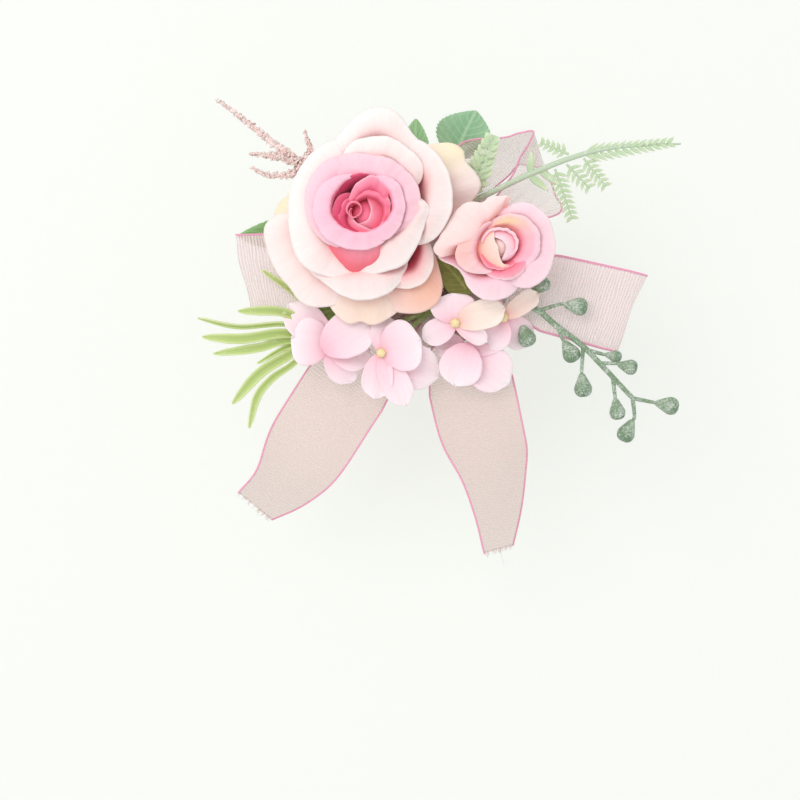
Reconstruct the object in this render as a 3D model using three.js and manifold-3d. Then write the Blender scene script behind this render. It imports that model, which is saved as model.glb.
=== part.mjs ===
// Wrist corsage: silk flowers, moulded greenery and an organza bow, glued to a disc on an elastic wristband.
// Millimetres. The origin is the middle of the felt face that lies on the wrist.
// +Z leaves the wrist, +Y runs up the forearm, and +X goes across the wrist.
import * as THREE from "three";
import { mergeVertices } from "three/addons/utils/BufferGeometryUtils.js";
import Module from "manifold-3d";

const wasm = await Module();
wasm.setup();

// Clearances
const GLUE_GAP = 0.3;
const HINGE_GAP = 0.6;

// Wristband and the two layers that hold it
const WRIST_WIDTH = 52;
const WRIST_DEPTH = 40;
const BAND_WIDTH = 20;
const BAND_THICKNESS = 1.2;
const BAND_SHOULDER_RADIUS = 6;
const BAND_PALM_RADIUS = 14;
const FELT_LENGTH = 46;
const FELT_THICKNESS = 1.5;
const DISC_RADIUS = 27;
const DISC_THICKNESS = 2;

// Organza ribbon
const RIBBON_WIDTH = 29;
const RIBBON_THICKNESS = 0.5;
const BINDING_RADIUS = 5;
const BINDING_HEIGHT = 6;
const BINDING_AT = [4, -3];

// Petals and leaves
const PETAL_THICKNESS = 0.5;
const PETAL_DISC_THICKNESS = 0.7;
const PEG_RADIUS = 0.9;
const LEAF_THICKNESS = 0.6;
const LEAF_FOLD = 1.4;
const PETIOLE_RADIUS = 0.8;

// Petals: shares of the way from the foot past the crest of the fold to the rim, and how the layers nest
const PETAL_ROWS = [0, 0.42, 0.68, 1];
const PETAL_LEAST_STEPS = 4;
const PETAL_TOLERANCE = 0.15;
const HEART_TOLERANCE = 0.03;
const PETAL_FOOT_SHARE = 0.5;
const PETAL_ROOT_STEP = 1.2;
const PETAL_DISC_RIM = 0.6;

// Rose, from its heart outward: each row of a rim is an angle in degrees and a radius about the middle,
// a height above the felt, and the width of the lip that rolls over outside the crest
const ROSE = {
  at: [-16.8, 15.8],
  leanX: 1.5,
  leanY: -9,
  stemRadius: 1.4,
  stemLength: 3.6,
  cupRadius: 4.4,
  cupHeight: 4,
  sepalLength: 4,
  footRadius: 2.2,
  heartRadius: 5.2,
  heartTop: 26,
  middle: [-21.5, 14.9],
  layers: [
    [
      {
        rim: [
          [10, 12, 38.2, 1], [74, 12.9, 39.8, 1], [120, 13.6, 39.6, 1.2], [166, 14, 38, 1.6],
        ],
        waist: 0.8,
      },
      {
        rim: [
          [88, 12, 38.6, 0.6], [125, 15, 39.8, 2.8], [160, 17.2, 40.2, 5], [198, 16.2, 40, 5.6],
          [238, 13.5, 40, 5.6], [284, 11.9, 39.8, 5.2], [334, 10.6, 38, 4],
        ],
        waist: 0.8,
      },
      {
        rim: [
          [-76, 11.2, 38.8, 4.6], [-34, 12, 40.5, 4.6], [2, 12.9, 41, 3.6], [44, 14.2, 41, 3.2],
          [90, 11.4, 39, 0.8],
        ],
        waist: 0.8,
      },
    ],
    [
      {
        rim: [
          [14, 17, 37, 5], [50, 19.3, 38.4, 5.8], [92, 19.3, 38.8, 6], [117, 20.5, 38.4, 5.6],
          [150, 19.6, 37, 5],
        ],
        waist: 0.8,
      },
      {
        rim: [
          [88, 18.4, 37, 5], [124, 21, 38.6, 5], [152, 21, 38.8, 4.4], [190, 18.5, 38.2, 3],
          [242, 13.6, 35.6, 2],
        ],
        waist: 0.8,
      },
      {
        rim: [
          [-52, 12.4, 36, 2], [-2, 16.8, 38.4, 4], [30, 19.2, 38.8, 5], [70, 17.6, 37, 5],
        ],
        waist: 0.8,
      },
      {
        rim: [[192, 11, 36.6, -3], [226, 11.6, 38, -5], [258, 11.8, 38.2, -6.6], [300, 10.8, 37.6, -2.4]],
        belly: 1.15,
        waist: 0.42,
        rise: 0.8,
      },
    ],
    [
      {
        rim: [
          [26, 21, 34, 5], [48, 25, 36.4, 5.5], [70, 26, 37, 6], [100, 23.7, 36.6, 5],
          [118, 19.6, 35, 4],
        ],
      },
      {
        rim: [
          [132, 24, 31, 6], [101, 30, 33.2, 8], [80, 35.5, 33.4, 8], [60, 30.8, 33, 7],
          [32, 27, 30, 5],
        ],
      },
      {
        rim: [
          [72, 27, 31, 6], [44, 30.6, 34.2, 5.8], [15, 29.5, 35.4, 7.4], [-8, 26.4, 34.8, 6.6],
          [-24, 21, 33, 4],
        ],
      },
      {
        rim: [
          [88, 24, 31, 7], [120, 26.6, 33.6, 8.8], [161, 25.8, 34.4, 9], [210, 26.6, 33.6, 9.6],
          [239, 24, 31.4, 7], [264, 20.4, 30, 1],
        ],
      },
      {
        rim: [
          [250, 21, 29.4, 0.4], [275, 20, 32, 5.6], [310, 21, 35, 9], [342, 19.8, 36.4, 5.4],
          [366, 20.8, 37.8, 3], [380, 17.6, 37, 2],
        ],
        rise: 0.38,
      },
      {
        rim: [
          [210, 22, 27, 1], [239, 26.3, 29.8, 3], [266, 28.4, 30, 8], [293, 25.8, 29.8, 4.6],
          [322, 17, 27.4, 1],
        ],
        rise: 0.36,
      },
    ],
    [
      {
        rim: [
          [62, 28, 25, 6], [41, 36.8, 26, 10], [28, 38, 25.6, 10], [14, 39.2, 24.8, 10],
          [-8, 27, 23.4, 6],
        ],
      },
      {
        rim: [
          [172, 24, 25, 6], [188, 33.6, 24.6, 9], [215, 34.8, 23.4, 9], [236, 35.4, 22.8, 9],
          [264, 27, 23, 6],
        ],
      },
      { rim: [[148, 22, 25, 5], [175, 29.8, 24.6, 6], [196, 25, 24, 5]] },
      { rim: [[236, 28, 22, 6], [260, 36, 21.8, 9], [282, 34.8, 21.8, 8], [308, 27, 22, 6]] },
      { rim: [[276, 28, 22, 6], [298, 36.4, 22.6, 9], [312, 36.4, 23.3, 9], [338, 23, 24, 5]] },
      { rim: [[282, 22, 26, 3], [302, 28.4, 28.4, 5], [322, 28.2, 28.8, 5], [344, 20, 28, 3]] },
    ],
  ],
};

// Rosebud, with a pointed wing petal at its upper left
const BUD = {
  at: [20, 5.2],
  leanX: 2,
  leanY: 6,
  stemRadius: 1.3,
  stemLength: 3.4,
  cupRadius: 4,
  cupHeight: 3.6,
  sepalLength: 2.2,
  footRadius: 2.2,
  heartRadius: 4.4,
  heartTop: 21,
  middle: [23, 5],
  layers: [
    [
      {
        rim: [
          [130, 8, 32.4, 1], [56, 11.4, 34, 1.6], [6, 12.8, 33.5, 1.6], [-42, 11.2, 32.4, 1.4],
          [-80, 9, 30.6, 1],
        ],
        waist: 0.8,
      },
      {
        rim: [
          [112, 8.6, 33.4, 1], [142, 10.2, 34.6, 2], [184, 14.6, 33.4, 5], [207, 15.4, 32.2, 5.2],
          [252, 10, 30.8, 1],
        ],
        waist: 0.8,
      },
      {
        rim: [[224, 10.4, 29.4, 1], [270, 11.6, 31.5, 1.8], [306, 11.6, 31.8, 2], [334, 9.6, 30.6, 1]],
        waist: 0.8,
      },
    ],
    [
      {
        rim: [
          [150, 9, 29.6, 1], [82, 13, 32, 3.4], [46, 17.2, 31.2, 4.6], [4, 17.8, 30.6, 4.6],
          [-40, 18.2, 30, 6.6], [-90, 12.6, 28.4, 3],
        ],
        waist: 0.8,
      },
      {
        rim: [
          [79, 15.4, 34, 0.4], [91, 15.7, 34.8, 3], [116, 15.2, 34.6, 5], [145, 18.8, 33.6, 8.8],
          [174, 20.6, 32.8, 9], [184, 22.4, 32.2, 5], [192, 21, 31.2, 2],
        ],
        waist: 0.8,
      },
      {
        rim: [
          [176, 18, 28.4, 1], [190, 21, 29, 1], [219, 16, 28.6, 1.6], [250, 18.7, 28.2, 5.6],
          [284, 16.4, 28.2, 5], [308, 12.4, 27.4, 2],
        ],
        waist: 0.8,
        rise: 0.4,
      },
    ],
  ],
};

// Hydrangea: each floret has its place, its height and the turn of its first petal
const FLORET_PETAL_LENGTH = 12;
const FLORET_PETAL_WIDTH = 10.2;
const FLORET_BOWL = 1.4;
const FLORET_CREASE = 0.9;
const BEAD_WALL = 0.7;
const PEG_REACH = 1.4;
const UMBEL_AT = [0.4, -15.5];
const UMBEL_RADIUS = 1;
const UMBEL_FORK_HEIGHT = 3.4;
const FLORETS = [
  { at: [-33.7, -27.9], height: 15.2, turn: 0.3, via: [-16, -22, 10] },
  { at: [-16.5, -30.3], height: 18.6, turn: 0.9, via: [-9, -24, 11] },
  { at: [8.1, -20.4], height: 20, turn: 0.6, via: [4, -18.5, 11] },
  { at: [11.9, -29.3], height: 13.6, turn: 1.19, via: [6, -23, 9.6] },
  { at: [24.3, -18.5], height: 17.4, turn: 0.785, via: [13, -20, 10.4] },
];

// Wired sprigs: a ball on the moving sprig turns against the end of its foot
const SPRIG_BALL_RADIUS = 1.4;
const SPRIG_STEM_RADIUS = 1;
const BERRY_LENGTH = 8;
const BERRY_WIDTH = 6;
const BERRY_PIVOT = [34.5, -15.3, 16];
const FERN_PIVOT = [14.5, 20.7, 17];
const PLUME_PIVOT = [-41, 31.5, 10];
const PLUME_RADIUS = 1.6;
const BLADE_WIDTH = 3;
const BLADE_THICKNESS = 0.7;

// Tails: where each one leaves the flowers, and the way it hangs there
const LEFT_TAIL_HINGE = [-27.8, -41, 6.2];
const LEFT_TAIL_WAY = [-0.64, -0.768, 0];
const RIGHT_TAIL_HINGE = [13.9, -41.6, 6.2];
const RIGHT_TAIL_WAY = [0.249, -0.969, 0];

// Heights that follow from the stack on the wrist
const BAND_MIDDLE = FELT_THICKNESS + GLUE_GAP + BAND_THICKNESS / 2;
const DISC_BOTTOM = BAND_MIDDLE + BAND_THICKNESS / 2 + GLUE_GAP;
const DECK = DISC_BOTTOM + DISC_THICKNESS;
const SEAT = DECK + GLUE_GAP;
const LAYER_PITCH = PETAL_DISC_THICKNESS + GLUE_GAP;
const BAND_SIDE = WRIST_WIDTH / 2 + BAND_THICKNESS / 2;
const SHOULDER_FOOT = BAND_MIDDLE - BAND_SHOULDER_RADIUS;
const PALM_TOP = BAND_PALM_RADIUS - WRIST_DEPTH - BAND_THICKNESS / 2;

// Colours and finishes
const LOOKS = {
  felt: { color: 0xf4f1ec, roughness: 0.95 },
  elastic: { color: 0xf1ece6, roughness: 0.85 },
  organza: { color: 0xe3cdc4, roughness: 0.55 },
  heart: { color: 0xdd6f8c, roughness: 0.8 },
  innerPetal: { color: 0xf6c4d0, roughness: 0.8 },
  outerPetal: { color: 0xfbe6e2, roughness: 0.8 },
  budPetal: { color: 0xf8cfcd, roughness: 0.8 },
  floret: { color: 0xfbe3ea, roughness: 0.8 },
  bead: { color: 0xf0d488, roughness: 0.5 },
  leaf: { color: 0x93b487, roughness: 0.7 },
  stem: { color: 0x8fae6a, roughness: 0.6 },
  grass: { color: 0xaec476, roughness: 0.6 },
  plume: { color: 0xf2cdc2, roughness: 0.95 },
  fern: { color: 0xd2e0c0, roughness: 0.75 },
  berry: { color: 0x8fae8a, roughness: 0.4 },
};

// A vector from its three numbers.
function vec(list) {
  return new THREE.Vector3(...list);
}

// The value at a share of the way along an even list of values.
function valueAlong(values, along) {
  if (values.length === 1) return values[0];
  const place = Math.min(along, 0.999999) * (values.length - 1);
  const first = Math.floor(place);
  return values[first] + (values[first + 1] - values[first]) * (place - first);
}

// The value at a share of the way along a smooth run through an even list of values.
function smoothAlong(values, along) {
  const place = Math.min(along, 0.999999) * (values.length - 1);
  const first = Math.floor(place);
  const t = place - first;
  const near = (k) => values[THREE.MathUtils.clamp(first + k, 0, values.length - 1)];
  const [a, b, c, d] = [-1, 0, 1, 2].map(near);
  return b + 0.5 * t * (c - a + t * (2 * a - 5 * b + 4 * c - d + t * (3 * (b - c) + d - a)));
}

// A closed geometry from points and triangles, turned so that its faces look outward.
function closedGeometry(points, triangles) {
  let volume = 0;
  for (const [a, b, c] of triangles) {
    volume += points[a].dot(points[b].clone().cross(points[c]));
  }
  const facing = volume < 0 ? triangles.map(([a, b, c]) => [a, c, b]) : triangles;
  const geometry = new THREE.BufferGeometry().setFromPoints(points);
  geometry.setIndex(facing.flat());
  return geometry;
}

// A thin closed solid on the patch at(u, v), half its thickness on each side, u and v running from 0 to 1.
function sheetSolid(at, uSteps, vSteps, thickness) {
  const row = vSteps + 1;
  const count = (uSteps + 1) * row;
  const step = 1e-3;
  const upper = [];
  const lower = [];
  for (let i = 0; i <= uSteps; i += 1) {
    for (let j = 0; j <= vSteps; j += 1) {
      const u = i / uSteps;
      const v = j / vSteps;
      const alongU = at(Math.min(u + step, 1), v).sub(at(Math.max(u - step, 0), v));
      const alongV = at(u, Math.min(v + step, 1)).sub(at(u, Math.max(v - step, 0)));
      const normal = alongU.cross(alongV).normalize();
      upper.push(at(u, v).addScaledVector(normal, thickness / 2));
      lower.push(at(u, v).addScaledVector(normal, -thickness / 2));
    }
  }
  const triangles = [];
  const addQuad = (a, b, c, d) => triangles.push([a, b, c], [a, c, d]);
  for (let i = 0; i < uSteps; i += 1) {
    for (let j = 0; j < vSteps; j += 1) {
      const a = i * row + j;
      addQuad(a, a + row, a + row + 1, a + 1);
      addQuad(count + a, count + a + 1, count + a + row + 1, count + a + row);
    }
  }
  const rim = [];
  for (let i = 0; i < uSteps; i += 1) rim.push(i * row);
  for (let j = 0; j < vSteps; j += 1) rim.push(uSteps * row + j);
  for (let i = uSteps; i > 0; i -= 1) rim.push(i * row + vSteps);
  for (let j = vSteps; j > 0; j -= 1) rim.push(j);
  rim.forEach((a, place) => {
    const b = rim[(place + 1) % rim.length];
    addQuad(b, a, count + a, count + b);
  });
  return closedGeometry([...upper, ...lower], triangles);
}

// A closed solid through rings of points, each ring with the same count, with flat ends.
function loftSolid(rings) {
  const sides = rings[0].length;
  const triangles = [];
  for (let i = 0; i + 1 < rings.length; i += 1) {
    for (let k = 0; k < sides; k += 1) {
      const a = i * sides + k;
      const b = i * sides + ((k + 1) % sides);
      triangles.push([a, b, b + sides], [a, b + sides, a + sides]);
    }
  }
  const last = (rings.length - 1) * sides;
  for (let k = 1; k + 1 < sides; k += 1) {
    triangles.push([0, k + 1, k], [last, last + k, last + k + 1]);
  }
  return closedGeometry(rings.flat(), triangles);
}

// A closed solid through rings of points that come back round to the first ring, open through its middle.
function tubeSolid(rings) {
  const sides = rings[0].length;
  const count = rings.length * sides;
  const triangles = [];
  for (let i = 0; i < rings.length; i += 1) {
    for (let k = 0; k < sides; k += 1) {
      const a = i * sides + k;
      const b = i * sides + ((k + 1) % sides);
      triangles.push([a, b, (b + sides) % count], [a, (b + sides) % count, (a + sides) % count]);
    }
  }
  return closedGeometry(rings.flat(), triangles);
}

// A round stem through the points, its radius running evenly through the listed radii.
function stemSolid(points, radii, steps, sides) {
  const curve = new THREE.CatmullRomCurve3(points.map(vec));
  const frames = curve.computeFrenetFrames(steps, false);
  const rings = [];
  for (let i = 0; i <= steps; i += 1) {
    const centre = curve.getPointAt(i / steps);
    const radius = valueAlong(radii, i / steps);
    const ring = [];
    for (let k = 0; k < sides; k += 1) {
      const angle = (2 * Math.PI * k) / sides;
      const out = frames.normals[i].clone().multiplyScalar(Math.cos(angle));
      out.addScaledVector(frames.binormals[i], Math.sin(angle));
      ring.push(centre.clone().addScaledVector(out, radius));
    }
    rings.push(ring);
  }
  return loftSolid(rings);
}

// The geometry as a solid for joining and cutting.
function toSolid(geometry) {
  const bare = geometry.clone();
  bare.deleteAttribute("normal");
  bare.deleteAttribute("uv");
  const welded = mergeVertices(bare, 1e-4);
  const corners = welded.index.array;
  const triVerts = [];
  for (let i = 0; i < corners.length; i += 3) {
    const [a, b, c] = corners.slice(i, i + 3);
    if (a !== b && b !== c && c !== a) triVerts.push(a, b, c);
  }
  return new wasm.Manifold(new wasm.Mesh({
    numProp: 3,
    vertProperties: new Float32Array(welded.attributes.position.array),
    triVerts: new Uint32Array(triVerts),
  }));
}

// The solid as a geometry again.
function toGeometry(solid) {
  const mesh = solid.getMesh();
  const geometry = new THREE.BufferGeometry();
  geometry.setAttribute("position", new THREE.BufferAttribute(mesh.vertProperties, 3));
  geometry.setIndex(new THREE.BufferAttribute(mesh.triVerts, 1));
  return geometry;
}

// All the geometries as one body.
function joined(geometries) {
  return toGeometry(geometries.map(toSolid).reduce((whole, piece) => whole.add(piece)));
}

// One geometry with another cut out of it.
function cut(geometry, tool) {
  return toGeometry(toSolid(geometry).subtract(toSolid(tool)));
}

// A body of revolution about Z from radius and height pairs that start and end on the axis.
function turned(profile, segments) {
  const points = profile.map(([radius, height]) => new THREE.Vector2(radius, height));
  return toGeometry(toSolid(new THREE.LatheGeometry(points, segments).rotateX(Math.PI / 2)));
}

// A round or oval plate with its underside at a height, and a bore through it if one is asked for.
function plate(radiusX, radiusY, thickness, bottom, bore, segments) {
  const shape = new THREE.Shape().absellipse(0, 0, radiusX, radiusY, 0, 2 * Math.PI);
  if (bore > 0) shape.holes.push(new THREE.Path().absellipse(0, 0, bore, bore, 0, 2 * Math.PI));
  const options = { depth: thickness, bevelEnabled: false, curveSegments: segments };
  return new THREE.ExtrudeGeometry(shape, options).translate(0, 0, bottom);
}

// A geometry turned from +Z to a direction and moved to a place.
function aimed(geometry, place, direction) {
  const turn = new THREE.Quaternion().setFromUnitVectors(vec([0, 0, 1]), vec(direction).normalize());
  return geometry.clone().applyQuaternion(turn).translate(...place);
}

// A named mesh with a material of its own.
function mesh(name, geometry, look) {
  const material = new THREE.MeshStandardMaterial({ metalness: 0, ...look });
  const made = new THREE.Mesh(geometry, material);
  made.name = name;
  return made;
}

// Half of the band's loop: a flat run with two rounded corners, drawn in X and Z and carried along Y.
function bandArch(radius) {
  const half = BAND_THICKNESS / 2;
  const centre = BAND_SIDE - radius;
  const shape = new THREE.Shape();
  shape.moveTo(BAND_SIDE + half, 0);
  shape.absarc(centre, 0, radius + half, 0, Math.PI / 2, false);
  shape.absarc(-centre, 0, radius + half, Math.PI / 2, Math.PI, false);
  shape.lineTo(half - BAND_SIDE, 0);
  shape.absarc(-centre, 0, radius - half, Math.PI, Math.PI / 2, true);
  shape.absarc(centre, 0, radius - half, Math.PI / 2, 0, true);
  shape.closePath();
  const options = { depth: BAND_WIDTH, bevelEnabled: false, curveSegments: 6 };
  return new THREE.ExtrudeGeometry(shape, options).rotateX(Math.PI / 2).translate(0, BAND_WIDTH / 2, 0);
}

// The elastic band: a top run between felt and disc, two straight sides and the run under the wrist.
function makeBand() {
  const top = mesh("band_top", bandArch(BAND_SHOULDER_RADIUS), LOOKS.elastic);
  top.position.z = SHOULDER_FOOT;
  const palm = mesh("band_palm", bandArch(BAND_PALM_RADIUS).rotateY(Math.PI), LOOKS.elastic);
  palm.position.z = PALM_TOP;
  const length = SHOULDER_FOOT - PALM_TOP - 2 * GLUE_GAP;
  const sides = [["band_side_left", -BAND_SIDE], ["band_side_right", BAND_SIDE]].map(([name, x]) => {
    const side = mesh(name, new THREE.BoxGeometry(BAND_THICKNESS, BAND_WIDTH, length), LOOKS.elastic);
    side.position.set(x, 0, (SHOULDER_FOOT + PALM_TOP) / 2);
    return side;
  });
  return [top, ...sides, palm];
}

// The felt patch on the wrist side and the disc that carries the flowers.
function makeBacking() {
  const feltHalf = BAND_SIDE - BAND_SHOULDER_RADIUS;
  const felt = plate(feltHalf, FELT_LENGTH / 2, FELT_THICKNESS, 0, 0, 10);
  const disc = plate(DISC_RADIUS, DISC_RADIUS, DISC_THICKNESS, DISC_BOTTOM, 0, 12);
  return [mesh("felt_backing", felt, LOOKS.felt), mesh("mount_disc", disc, LOOKS.felt)];
}

// A ribbon through stations: its middle, the way across it, and how much of its width is spread.
function ribbon(stations, steps) {
  const middle = new THREE.CatmullRomCurve3(stations.map(([at]) => vec(at)));
  const across = new THREE.CatmullRomCurve3(stations.map(([, way]) => vec(way)));
  const spread = stations.map(([, , share]) => share);
  const at = (u, v) => {
    const width = RIBBON_WIDTH * valueAlong(spread, u);
    return middle.getPoint(u).addScaledVector(across.getPoint(u).normalize(), (v - 0.5) * width);
  };
  return sheetSolid(at, steps, 2, RIBBON_THICKNESS);
}

// A point of a tail's hinge line, moved along the tail.
function hingeEnd(hinge, way, distance) {
  return vec(hinge).addScaledVector(vec(way), distance).toArray();
}

// The bow: three loops and two tails that meet at the binding. Heights are above the seat on the disc.
function makeBow() {
  const low = SEAT + 0.9;
  const high = low + 2.9;
  const left = ribbon([
    [[-1.4, -2.6, low], [0, 1, 0], 0.16],
    [[-18, -1.6, low + 2], [0, 1, 0], 0.46],
    [[-38, -2.6, low + 2], [-0.05, 1, 0], 0.9],
    [[-57, -3.4, low + 1.7], [-0.17, 0.98, 0], 0.92],
    [[-63.2, -3.4, low + 3.4], [-0.2, 0.98, 0], 0.92],
    [[-57, -3.4, low + 5.1], [-0.17, 0.98, 0], 0.92],
    [[-38, -2.6, low + 5], [-0.05, 1, 0], 0.9],
    [[-18, -1.6, low + 4.4], [0, 1, 0], 0.46],
    [[-1.4, -2.6, high], [0, 1, 0], 0.16],
  ], 24);
  const right = ribbon([
    [[9.3, -3.6, low], [0.2, 0.98, 0], 0.16],
    [[22, -6.2, low + 0.5], [0.21, 0.98, 0], 0.42],
    [[40, -10, low + 0.7], [0.22, 0.975, 0], 0.9],
    [[62, -15.4, low + 0.9], [0.33, 0.94, 0], 0.95],
    [[67.8, -16.8, low + 2.7], [0.36, 0.93, 0], 0.95],
    [[62, -15.4, low + 4.5], [0.33, 0.94, 0], 0.95],
    [[40, -10, low + 4.3], [0.22, 0.975, 0], 0.9],
    [[22, -6.4, low + 3.3], [0.21, 0.98, 0], 0.4],
    [[9.3, -3.6, high], [0.2, 0.98, 0], 0.16],
  ], 24);
  const upper = ribbon([
    [[6.9, 1.7, low + 0.3], [0.76, -0.64, 0], 0.16],
    [[19.2, 13, low + 2], [0.84, -0.5, -0.2], 0.28],
    [[34.7, 22.3, low + 1.1], [0.75, -0.4, -0.53], 0.83],
    [[36.8, 30.2, low - 2.6], [0.45, -0.4, -0.8], 0.98],
    [[37.4, 38.4, low - 3.1], [0.2, -0.35, -0.91], 1],
    [[32.5, 38.9, low - 3.5], [0.2, -0.3, -0.93], 1],
    [[26.8, 38.2, low - 3.5], [0.25, -0.25, -0.93], 0.96],
    [[16.8, 33.7, low - 0.7], [0.45, -0.35, -0.82], 0.69],
    [[11.1, 21.2, low + 4.3], [0.76, -0.5, -0.4], 0.38],
    [[3.6, 2.6, high], [0.95, -0.3, -0.1], 0.16],
  ], 27);
  const leftRoot = ribbon([
    [[0.8, -7.3, low], [0.77, -0.64, 0], 0.14],
    [[-8, -17.4, low + 0.1], [0.77, -0.64, 0], 0.38],
    [[-19, -30.5, low - 0.1], [0.77, -0.64, 0], 0.8],
    [hingeEnd(LEFT_TAIL_HINGE, LEFT_TAIL_WAY, -HINGE_GAP / 2), [0.768, -0.64, 0], 1],
  ], 9);
  const leftTail = ribbon([
    [hingeEnd(LEFT_TAIL_HINGE, LEFT_TAIL_WAY, HINGE_GAP / 2), [0.768, -0.64, 0], 1],
    [[-39.5, -59, 5], [0.79, -0.6, -0.1], 1],
    [[-50, -75, 1.5], [0.55, -0.45, -0.7], 1],
    [[-59.6, -82.5, -2], [0.35, -0.36, -0.87], 1],
  ], 12);
  const rightRoot = ribbon([
    [[5.3, -8.2, low], [0.97, 0.24, 0], 0.14],
    [[7.5, -17, low + 0.1], [0.97, 0.24, 0], 0.35],
    [[11, -30, low - 0.1], [0.97, 0.24, 0], 0.8],
    [hingeEnd(RIGHT_TAIL_HINGE, RIGHT_TAIL_WAY, -HINGE_GAP / 2), [0.969, 0.249, 0], 1],
  ], 9);
  const rightTail = ribbon([
    [hingeEnd(RIGHT_TAIL_HINGE, RIGHT_TAIL_WAY, HINGE_GAP / 2), [0.969, 0.249, 0], 1],
    [[17.4, -57, 5.4], [1, 0.05, -0.05], 1],
    [[21.5, -71, 4], [0.8, 0.05, -0.6], 1],
    [[23.3, -84, 1.5], [0.59, 0.03, -0.81], 1],
    [[23.7, -97, -2], [0.38, 0.04, -0.92], 1],
  ], 12);
  const waist = 0.85 * BINDING_RADIUS;
  const binding = turned([
    [0, 0],
    [waist, 0],
    [BINDING_RADIUS, 0.25 * BINDING_HEIGHT],
    [BINDING_RADIUS, 0.75 * BINDING_HEIGHT],
    [waist, BINDING_HEIGHT],
    [0, BINDING_HEIGHT],
  ], 20).translate(...BINDING_AT, SEAT);
  return [
    mesh("bow_binding", binding, LOOKS.organza),
    mesh("bow_loop_left", left, LOOKS.organza),
    mesh("bow_loop_right", right, LOOKS.organza),
    mesh("bow_loop_upper", upper, LOOKS.organza),
    mesh("tail_left_root", leftRoot, LOOKS.organza),
    mesh("tail_left", leftTail, LOOKS.organza),
    mesh("tail_right_root", rightRoot, LOOKS.organza),
    mesh("tail_right", rightTail, LOOKS.organza),
  ];
}

// A petal as a patch in its flower's frame: foot, belly, crest and rim joined by a smooth run.
function petalPatch(flower, petal, foot, root, toFlower) {
  const { rim, belly = 0.62, waist = 0.62, rise = 0.28 } = petal;
  const columns = [0, 1, 2, 3].map((column) => rim.map((row) => row[column]));
  const midAngle = (rim[0][0] + rim[rim.length - 1][0]) / 2;
  return (u, v) => {
    const [angle, radius, height, lip] = columns.map((column) => smoothAlong(column, u));
    const out = vec([1, 0, 0]).applyAxisAngle(vec([0, 0, 1]), THREE.MathUtils.degToRad(angle));
    const edge = vec([...flower.middle, height]).addScaledVector(out, radius);
    const crest = edge.clone().addScaledVector(out, -lip).add(vec([0, 0, rise * lip]));
    edge.applyMatrix4(toFlower);
    crest.applyMatrix4(toFlower);
    const narrow = THREE.MathUtils.degToRad(midAngle + PETAL_FOOT_SHARE * (angle - midAngle));
    const base = vec([root * Math.cos(narrow), root * Math.sin(narrow), foot]);
    const low = crest.clone().sub(base).multiply(vec([belly, belly, waist])).add(base);
    const share = (0.35 + 0.65 * (1 - Math.abs(2 * u - 1) ** 6)) * valueAlong(PETAL_ROWS, v);
    const run = [base, low, crest, edge].map((point) => point.toArray());
    return vec([0, 1, 2].map((axis) => smoothAlong(run.map((point) => point[axis]), share)));
  };
}

// The petals of one layer as one solid, with half the thickness on each side of their patches.
function layerPetals(layer, patches, thickness) {
  const sheets = patches.map((at, place) => {
    const steps = Math.max(PETAL_LEAST_STEPS, layer[place].rim.length);
    return toSolid(sheetSolid(at, steps, PETAL_ROWS.length - 1, thickness));
  });
  return sheets.reduce((whole, sheet) => whole.add(sheet));
}

// The largest body of a solid, without the slivers that a cut leaves loose, and with few faces.
function largestBody(solid, tolerance) {
  const bodies = solid.simplify(tolerance).decompose();
  return bodies.reduce((best, body) => (body.volume() > best.volume() ? body : best));
}

// The petal layers and the heart: from the outermost layer inward, each is trimmed clear of those round it.
function petalLayers(flower, toFlower, heart) {
  const layers = [];
  const count = flower.layers.length;
  let room = null;
  for (let place = count - 1; place >= 0; place -= 1) {
    const foot = GLUE_GAP + PETAL_DISC_THICKNESS / 2 + (count - 1 - place) * LAYER_PITCH;
    const root = flower.footRadius + place * PETAL_ROOT_STEP;
    const layer = flower.layers[place];
    const patches = layer.map((petal) => petalPatch(flower, petal, foot, root, toFlower));
    const petals = layerPetals(layer, patches, PETAL_THICKNESS);
    const discRadius = root + PETAL_DISC_RIM;
    const discBottom = foot - PETAL_DISC_THICKNESS / 2;
    const disc = plate(discRadius, discRadius, PETAL_DISC_THICKNESS, discBottom, PEG_RADIUS + GLUE_GAP, 5);
    const stamped = petals.add(toSolid(disc));
    const clear = room ? stamped.subtract(room) : stamped;
    layers.unshift(toGeometry(largestBody(clear, PETAL_TOLERANCE)));
    const taken = layerPetals(layer, patches, PETAL_THICKNESS + 2 * GLUE_GAP);
    room = room ? room.add(taken) : taken;
  }
  return { layers, heart: toGeometry(largestBody(toSolid(heart).subtract(room), HEART_TOLERANCE)) };
}

// The wrapped heart: a scroll that is widest above its middle, bored for the peg.
function flowerHeart(flower, bottom, pegTop) {
  const shares = [0.36, 0.42, 0.56, 0.8, 1, 0.66];
  const sides = 14;
  const rings = shares.map((share, place) => {
    const rise = place / (shares.length - 1);
    const height = bottom + (flower.heartTop - bottom) * rise;
    const ring = [];
    for (let k = 0; k <= sides; k += 1) {
      const angle = (2 * Math.PI * (k - 0.15 * (k === sides))) / sides + 1.2 * rise;
      const radius = flower.heartRadius * share * (0.8 + (0.2 * k) / sides);
      ring.push(vec([radius * Math.cos(angle), radius * Math.sin(angle), height]));
    }
    return ring;
  });
  const boreRadius = PEG_RADIUS + GLUE_GAP;
  const boreTop = pegTop + GLUE_GAP;
  const bore = turned([[0, 0], [boreRadius, 0], [boreRadius, boreTop], [0, boreTop]], 8);
  return cut(loftSolid(rings), bore);
}

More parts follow.
